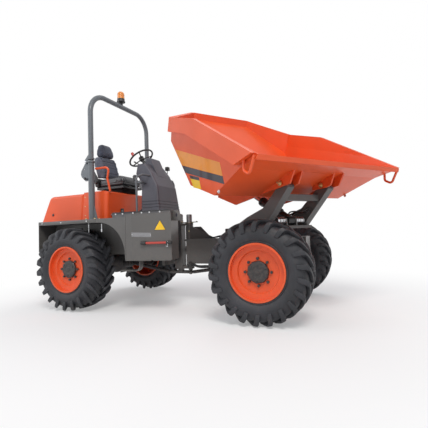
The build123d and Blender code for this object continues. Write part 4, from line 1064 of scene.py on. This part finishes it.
def console_details():
    """Key, levers, grips, pedals and lamp bracket of the console, and the wheel's knob and boss."""
    barrel = [(0.016, 0), (0.016, 0.006), (0.011, 0.010)]
    Part().lathe(barrel, at(-672, 150, 1973), (-0.7, 0, 0.714), 24).finish("key_switch", REAR, *BRIGHT)
    bow = Part().upright([(-682, 1984), (-676, 1990), (-690, 2008), (-698, 2000)], 148, 4)
    bow.finish("key", REAR, *PLASTIC, bevel=0.001)
    for name, base, tip, ball in (
        ("shift_lever", at(-690, 118, 1890), at(-786, 196, 1962), 0.019),
        ("light_lever", at(-700, -70, 1968), at(-792, -150, 2032), 0.012),
    ):
        knob = [(0.006, -0.006), (ball * 0.8, 0.0), (ball, 0.014), (ball * 0.7, 0.030), (0.003, 0.034)]
        lever = Part().rod(base, tip, 0.006).lathe(knob, tip, tip - base, 24)
        lever.lathe([(0.022, -0.006), (0.018, 0.010), (0.008, 0.022)], base, tip - base, 24)
        lever.finish(name, REAR, *PLASTIC)
    up = Vector((-math.sin(COLUMN_TILT), 0, math.cos(COLUMN_TILT)))
    x, y, z = WHEEL_MIDDLE
    knob = [
        (0.0196, 0.004), (0.0215, 0.016), (0.0225, 0.036), (0.0205, 0.052), (0.012, 0.0575), (0.002, 0.0585),
    ]
    Part().lathe(knob, at(x, y - 188, z), up, 32).finish("spinner_knob", REAR, red_paint, "paint_red")
    boss = [(0.039, -0.002), (0.040, 0.004), (0.036, 0.012), (0.020, 0.016), (0.004, 0.017)]
    Part().lathe(boss, at(x, y, z) + up * 0.004, up, 40).finish("wheel_boss", REAR, *PLASTIC)
    grips = Part()
    for side in (-1, 1):
        grips.rod(at(-682, side * 350, 1791), at(-656, side * 359, 1716), 0.0195, 24)
    grips.finish("hand_grips", REAR, *PLASTIC, bevel=0.004)
    foot = Part().box((-634, -314, 1240.5), (-288, 314, 1248.5))
    foot.finish("console_foot", REAR, *BLACK_METAL, bevel=0.002)
    places = [at(x, y, 1248.5) for x in (-610, -460, -305) for y in (-307, 307)]
    fasteners("console_bolts", REAR, places, UP, 0.012, zinc)
    bracket = Part().rod(at(-560, 262, 1850), at(-560, 352, 1900), 0.006)
    bracket.rod(at(-560, 352, 1900), at(-560, 356, 1968), 0.006).finish("lamp_bracket", REAR, *BLACK_METAL)
    pod = Part().box((-590, 326, 1960), (-530, 392, 2022), taper=0.9)
    pod.finish("small_pod", REAR, *PLASTIC, bevel=0.008)
    pedals = Part()
    plate = ((-760, -45, 1252), (-660, -45, 1318), (-660, 45, 1318), (-760, 45, 1252))
    for y in (-170, 170):
        pedals.prism([at(x, y + across, z) for x, across, z in plate], (-0.005, 0, 0.008))
        pedals.rod(at(-690, y, 1290), at(-612, y, 1270), 0.008)
    pedals.finish("pedals", REAR, *BLACK_METAL, bevel=0.002)


dial_panel()
console_details()

# ---------------------------------------------------------- side boxes and deck
BOX_OUT = -900  # the right-hand box's outer side, which turns in by BOX_TURN over BOX_RUN
TURN_AT, BOX_TURN, BOX_RUN = -320, 70, 520


def box_side(x, z, out=0.0):
    """Point on the right-hand box's outer side, out millimetres off it."""
    if x <= TURN_AT:
        return at(x, BOX_OUT - out, z)
    y = BOX_OUT + (x - TURN_AT) * BOX_TURN / BOX_RUN
    return at(x + 0.133 * out, y - 0.991 * out, z)


def side_details():
    """Edge, bolts, seam, bare plate and triangle of the right-hand box."""
    away = box_side(0, 800, 10) - box_side(0, 800, 0)
    flat = away.normalized()
    edge = Part()
    for rear, front in ((-618, -320), (-320, 192)):
        corners = ((rear, -8), (front, -8), (front, 7), (rear, 7))
        edge.prism([box_side(x, 1236, out) for x, out in corners], UP * 0.007)
    edge.finish("deck_edge_plate", REAR, black_paint, "deck_grey", bevel=0.0015)
    places = [box_side(x, 1222, 0) for x in (-560, -451, -295, -180, -76, 60)]
    fasteners("deck_bolts", REAR, places, away, 0.016)
    points = [box_side(x, 652, out) for x, out in ((-421, 0), (-411, 0), (-411, 3), (-421, 3))]
    Part().prism(points, UP * 0.553).finish("box_seam", REAR, *GREY, bevel=0.0015)
    corners = [box_side(-18, 1004, 1), box_side(133, 1002, 1), box_side(60, 1124, 1)]
    middle = sum(corners, Vector()) / 3
    film("triangle_edge", REAR, corners, away, black_film)
    film("triangle", REAR, [middle + (p - middle) * 0.92 + flat * 0.001 for p in corners], away, yellow_film)
    corners = [box_side(x, z, 0.5) for x, z in ((-320, 934), (-60, 922), (-60, 974), (-320, 986))]
    plate = Part().prism(corners, flat * 0.0016)
    plate.finish("bare_plate", REAR, engine_metal, "chassis_grey", smooth=False)
    fasteners("plate_rivets", REAR, [box_side(x, z, 2) for x, z in ((-313, 960), (-67, 948))], away, 0.007)
    lip = Part()
    for rear, front in ((-40, 190), (-415, -60)):
        corners = ((rear, 640), (front, 640), (front, 655), (rear, 655))
        lip.prism([box_side(x, z) for x, z in corners], flat * 0.006)
    lip.finish("box_lower_edge", REAR, *GREY, bevel=0.001)


def deck_details():
    """Lifting plate, lock bar ends, fender edges, bolts, chain and spare pin around the deck."""
    ear = Part().upright([(172, 1112), (284, 1108), (290, 1180), (250, 1232), (172, 1232)], -752, 10)
    ear.finish("lifting_plate", REAR, *GREY, bevel=0.002)
    # black film discs on both faces of the lifting plate, where its hole is: painted shade of the hole
    painted_hole_shade = Part()
    for y in (-753.2, -740.8):
        painted_hole_shade.upright([(232 + 11 * math.cos(t), 1177 + 22 * math.sin(t)) for t in turns(24)], y, 1.0)
    painted_hole_shade.finish("lifting_plate_hole", REAR, black_film, "black_metal", smooth=False)
    ends = Part()
    turn = BOX_TURN / BOX_RUN
    profile = [(0.022, -0.03), (0.022, 0.03), (0.018, 0.034), (0.018, 0.036)]
    for x in (-150, 180):
        y = BOX_OUT - 22 + (x - TURN_AT) * turn
        ends.lathe(profile, at(x, y, 852), (1, turn, 0), 24)
    ends.finish("lock_bar_ends", REAR, *BLACK_METAL)
    clip = Part().rod(at(172, -872, 870), at(172, -872, 806), 0.003)
    clip.rod(at(172, -872, 806), at(150, -874, 812), 0.003).finish("lock_bar_clip", REAR, *BRIGHT)
    band = Part()
    for side, front in ((-1, -891), (1, -1070)):
        band.upright([(-1934, 1132), (front, 1132), (front, 1178), (-1934, 1178)], side * 900, side * 4)
    band.finish("fender_edge_band", REAR, *GREY, bevel=0.0015)
    fasteners("fender_bolts", REAR, [at(x, -904, 1155) for x in (-1860, -1500, -1040)], (0, -1, 0), 0.014)
    feet = [
        at(POST_AHEAD + ahead, side * POST_OUT + left, 1194)
        for side in (-1, 1) for ahead in (-68, 88) for left in (-42, 42)
    ]
    fasteners("post_foot_bolts", REAR, feet, UP, 0.024, zinc)
    chain = Part()
    for number in range(9):
        axis = (0, 1, 0) if number % 2 else (1, 0, 0)
        link = [(0.0045, -0.006), (0.006, 0.0), (0.0045, 0.006)]
        chain.lathe(link, at(-1016, -886, 1118 - number * 13), axis, 12)
    chain.rod(at(-1016, -886, 1130), at(-1016, -886, 1006), 0.0022).finish("pin_chain", REAR, *BRIGHT)
    pin = Part().rod(at(-806, -880, 1112), at(-806, -880, 1040), 0.006)
    pin.rod(at(-806, -880, 1046), at(-806, -880, 1010), 0.010).finish("spare_pin", REAR, *BRIGHT)


side_details()
deck_details()


# ------------------------------------------------------------------ hoop, hood
def hoop_details():
    """Pins, collars and knobs of the folding hoop, and the beacon's screws and lamp."""
    lock = [(0.008, 0), (0.008, 0.010), (0.016, 0.012), (0.018, 0.022), (0.014, 0.030)]
    collar = [(0.0425, -0.03), (0.052, -0.028), (0.052, -0.006), (0.0425, -0.004)]
    sleeve = [(0.0365, 0.004), (0.047, 0.006), (0.047, 0.026), (0.0365, 0.028)]
    for side, name in SIDES:
        out = (0, side, 0)
        y = side * POST_OUT
        pin_end(f"fold_pin_{name}", REAR, at(-1245, side * 692, 2000), out, 0.011, bright_zinc)
        knob = Part().lathe(lock, at(-1250, side * 686, 1765), out, 16)
        knob.finish(f"fold_lock_knob_{name}", REAR, *PLASTIC)
        ring = Part().lathe(collar, at(POST_AHEAD, y, 2014), UP, 40, closed=True)
        ring.finish(f"post_collar_{name}", REAR, hoop_paint, "hoop_grey")
        ring = Part().lathe(sleeve, at(POST_AHEAD, y, 2026), UP, 40, closed=True)
        ring.finish(f"hoop_collar_{name}", "rops", hoop_paint, "hoop_grey")
    places = [at(POST_AHEAD + 56 * math.cos(t), 56 * math.sin(t), 3086) for t in (0.5, 2.6, 4.7)]
    fasteners("beacon_screws", "rops", places, UP, 0.009)
    inside = [(0.026, 0.0), (0.026, 0.05), (0.014, 0.062), (0.014, 0.084), (0.004, 0.09)]
    Part().lathe(inside, at(POST_AHEAD, 0, 3129), UP, 24).finish("beacon_lamp", "rops", *BRIGHT)


def hood_details():
    """Latches, air ribs and hinge knuckles of the hood, and the seat box's socket, caps and screws."""
    rose = [(0.020, 0), (0.020, 0.004), (0.014, 0.007)]
    for side, name in SIDES:
        y = side * 571
        latch = Part().lathe(rose, at(-2030, y, 1300), (0, side, 0), 28)
        latch.box((-2042, y + side * 5, 1294), (-2018, y + side * 11, 1306))
        latch.finish(f"hood_latch_{name}", "hood", *PLASTIC, bevel=0.001)
    ribs = Part()
    for number in range(7):
        z = 1232 + number * 26
        x = -2291 + (z - 1190) * 0.5
        corners = ((x, -300, z), (x, 300, z), (x + 4, 300, z + 8), (x + 4, -300, z + 8))
        ribs.prism([at(*p) for p in corners], (-0.004, 0, 0.002))
    ribs.finish("rear_air_ribs", "hood", *PLASTIC, bevel=0.001)
    knuckles = Part()
    barrel = [(0.011, 0), (0.012, 0.001), (0.012, 0.027), (0.011, 0.028)]
    for y in (-420, -390, 360, 390):
        knuckles.lathe(barrel, at(-1410, y, 1583), (0, 1, 0), 20)
    knuckles.finish("hood_hinge_knuckles", "hood", *BLACK_METAL)
    corners = ((-987, -285, 1268), (-983, -285, 1352), (-983, -215, 1352), (-987, -215, 1268))
    plate = Part().prism([at(*p) for p in corners], (0.006, 0, 0))
    plate.finish("socket_plate", REAR, *PLASTIC, bevel=0.002)
    caps = Part()
    for y, z, r, proud in ((-250, 1310, 0.022, 6), (-420, 1262, 0.026, 0), (-470, 1250, 0.012, 0)):
        x = -1000 + (z - 1175) * 20 / 395 + proud
        caps.lathe([(r, 0), (r, 0.006), (r * 0.75, 0.012), (r * 0.2, 0.013)], at(x, y, z), (1, 0, -0.05), 28)
    caps.finish("round_caps", REAR, engine_metal, "rod_chrome")
    for side, name in SIDES:
        places = [at(-1386, side * 570, z) for z in (1260, 1390, 1520)]
        fasteners(f"box_screws_{name}", REAR, places, (0, side, 0), 0.011, zinc)


hoop_details()
hood_details()


# -------------------------------------------------------------- frames and hoses
def joint_details():
    """Pin cap, keeper, seals, grease nipples and the hoses beside the steering joint."""
    cap = [
        (0.030, 1.094), (0.0475, 1.095), (0.0475, 1.104), (0.040, 1.108), (0.040, 1.208), (0.036, 1.2185),
        (0.006, 1.2195),
    ]
    cover = Part().lathe(cap, at(0, 0, 0), UP, 14)
    cover.finish("pin_cap", "yoke", engine_metal, "chassis_grey", bevel=0.0015)
    ring = [(0.0305, 0.0), (0.058, 0.001), (0.062, 0.004), (0.062, 0.006), (0.0305, 0.0065)]
    Part().lathe(ring, at(0, 0, 1095.5), UP, 40, closed=True).finish("zinc_ring", "yoke", zinc, "rod_chrome")
    outline = [(-138, -26), (60, -26), (128, -16), (140, 0), (128, 16), (60, 26), (-138, 26)]
    arm = Part().prism([at(x, y, 1102) for x, y in outline], UP * 0.010)
    arm.finish("pin_keeper", "yoke", *GREY, bevel=0.002)
    places = [at(x, y, 1112) for x, y in ((-120, -12), (-120, 12), (118, 0))]
    fasteners("pin_keeper_bolts", "yoke", places, UP, 0.018, zinc)
    seal = Part()
    washer = [(0.031, 0), (0.050, 0), (0.050, 0.0022), (0.031, 0.0022)]
    for z in (492.5, 1058.5):
        seal.lathe(washer, at(0, 0, z), UP, 40, closed=True)
    seal.finish("housing_seals", FRONT, *PLASTIC)
    nipples = Part()
    nipple = [(0.009, 0), (0.009, 0.006), (0.004, 0.008), (0.004, 0.016)]
    for z in (620, 980):
        nipples.lathe(nipple, at(20, -52, z), (0.35, -0.94, 0), 12)
    nipples.finish("grease_nipples", FRONT, zinc, "rod_chrome")
    manifold = Part().box((-212, -60, 1030), (-106, -84, 1092))
    manifold.finish("joint_manifold", "yoke", *BLACK_METAL, bevel=0.002)
    drops = (  # ahead, across and sway of each hose's hanging stretch
        (-94, -150, -4), (-58, -182, 6), (-72, -158, 0), (-112, -136, -4), (-92, -176, -6), (-74, -200, 8),
    )
    for number, (x, y, sway) in enumerate(drops):
        begin = -200 + (number % 3) * 24
        level = 1046 + (number // 3) * 30
        points = [
            (begin, -84, level), (begin - 6, -108, level + 30), (begin - 4, y * 0.5 - 52, 1150),
            (begin * 0.8 + x * 0.2, y + 8, 1222), (begin * 0.2 + x * 0.8, y, 1230), (x + 4, y - 4, 1165),
            (x + sway, y - 8, 1060), (x - sway, y - 12, 930), (x + sway * 0.6, y - 4, 800),
            (x - 8, y + 12, 690), (x - 60, y * 0.5 - 40, 622), (-150, y * 0.3 - 50, 592),
            (-205, y * 0.2 - 44, 590),
        ]
        hose(f"joint_hose_{number}", "yoke", [at(*p) for p in points], 0.0105)
    clamp = Part().box((-128, -214, 1000), (-44, -110, 1008))
    clamp.box((-128, -112, 1000), (-104, -58, 1008)).finish("hose_clamps", "yoke", *BLACK_METAL, bevel=0.0015)


RING_AHEAD = 1100  # the turntable's middle


def frame_details():
    """Valve block, ports, hoses under the beam and welds of the front frame."""
    block = Part().box((556, -86, 865.5), (654, 86, 937.5))
    for y in (-62, -22, 18, 58):
        block.rod(at(590, y, 936), at(590, y, 990), 0.015, 16)
        block.rod(at(626, y, 936), at(626, y, 968), 0.012, 6)
    block.finish("valve_spools", FRONT, *BLACK_METAL, bevel=0.002)
    port_rows = (-60, -20, 20, 60)
    ports = Part()
    for y in port_rows:
        port(ports, at(556, y, 905), (-1, 0, 0), 0.011)
    ports.finish("valve_ports", FRONT, *BRIGHT)
    for number, y in enumerate(port_rows):
        points = [
            (538, y, 905), (480, y, 902), (420, y * 0.9, 886), (350, y * 0.8, 880), (270, y * 0.7 + 2, 878),
            (200, y * 0.62, 880), (140, y * 0.6, 890), (108, y * 0.6, 905),
        ]
        hose(f"beam_hose_{number}", FRONT, [at(*p) for p in points], 0.0085)
    lows = ((-150, 506, 700), (-118, 492, 640), (-172, 516, 760), (-90, 500, 580))
    for number, (y, low, end) in enumerate(lows):
        points = [
            (70, y, 560), (96, y, 524), (150, y, low), (240, y + 4, low - 12), (330, y - 4, low - 4),
            (430, y, low - 16), (520, y + 6, low), (end - 40, y, 520), (end, y, 545),
        ]
        hose(f"under_hose_{number}", FRONT, [at(*p) for p in points], 0.0115)
    ring = [at(RING_AHEAD + 402 * math.cos(t), 402 * math.sin(t), 1000) for t in turns(24, 0.5)]
    fasteners("turntable_bolts", "turret", ring, UP, 0.022, zinc)
    welds = (
        ((24, -50, 1048), (52, -50, 1048)), ((56, -49, 1046), (428, -49, 866)),
        ((430, -50, 867), (30, -50, 867)), ((20, 150, 866), (780, 150, 866)),
        ((20, -150, 866), (780, -150, 866)),
    )
    for number, (start, end) in enumerate(welds):
        beads(f"frame_weld_{number}", FRONT, at(*start), at(*end), 0.004, GREY)


AXLE = 1284  # from the steering pin to each axle
HUB_UP = 537.5
STEM_AT = math.radians(101)


def wheel_details():
    """Faceted hub cover, its plugs and the valve stem of each wheel."""
    profile = [
        (0.111, 0.001), (0.1165, 0.004), (0.1165, 0.024), (0.108, 0.0335), (0.062, 0.036), (0.058, 0.0335),
        (0.030, 0.0335), (0.026, 0.037), (0.004, 0.0375),
    ]
    valve = [(0.006, 0), (0.006, 0.012), (0.004, 0.014), (0.004, 0.034), (0.0055, 0.035), (0.0055, 0.044)]
    for place in WHEELS:
        x = AXLE if place.startswith("front") else -AXLE
        side = -1 if place.endswith("right") else 1
        out, body = (0, side, 0), f"wheel_{place}"
        cover = Part().lathe(profile, at(x, side * 953.5, HUB_UP), out, 10)
        cover.finish(f"hub_cover_{place}", body, *BLACK_METAL, bevel=0.002, angle=20)
        spokes = [t + 0.4 for t in turns(3)]
        marks = [at(x + 84 * math.cos(t), side * 987.5, HUB_UP + 84 * math.sin(t)) for t in spokes]
        fasteners(f"hub_plugs_{place}", body, marks, out, 0.016, black_paint)
        base = at(x + 236 * math.cos(STEM_AT), side * 924.5, HUB_UP + 236 * math.sin(STEM_AT))
        Part().lathe(valve, base, out, 14).finish(f"valve_stem_{place}", body, *PLASTIC)


joint_details()
frame_details()
wheel_details()
bpy.data.objects.remove(bolt_form)
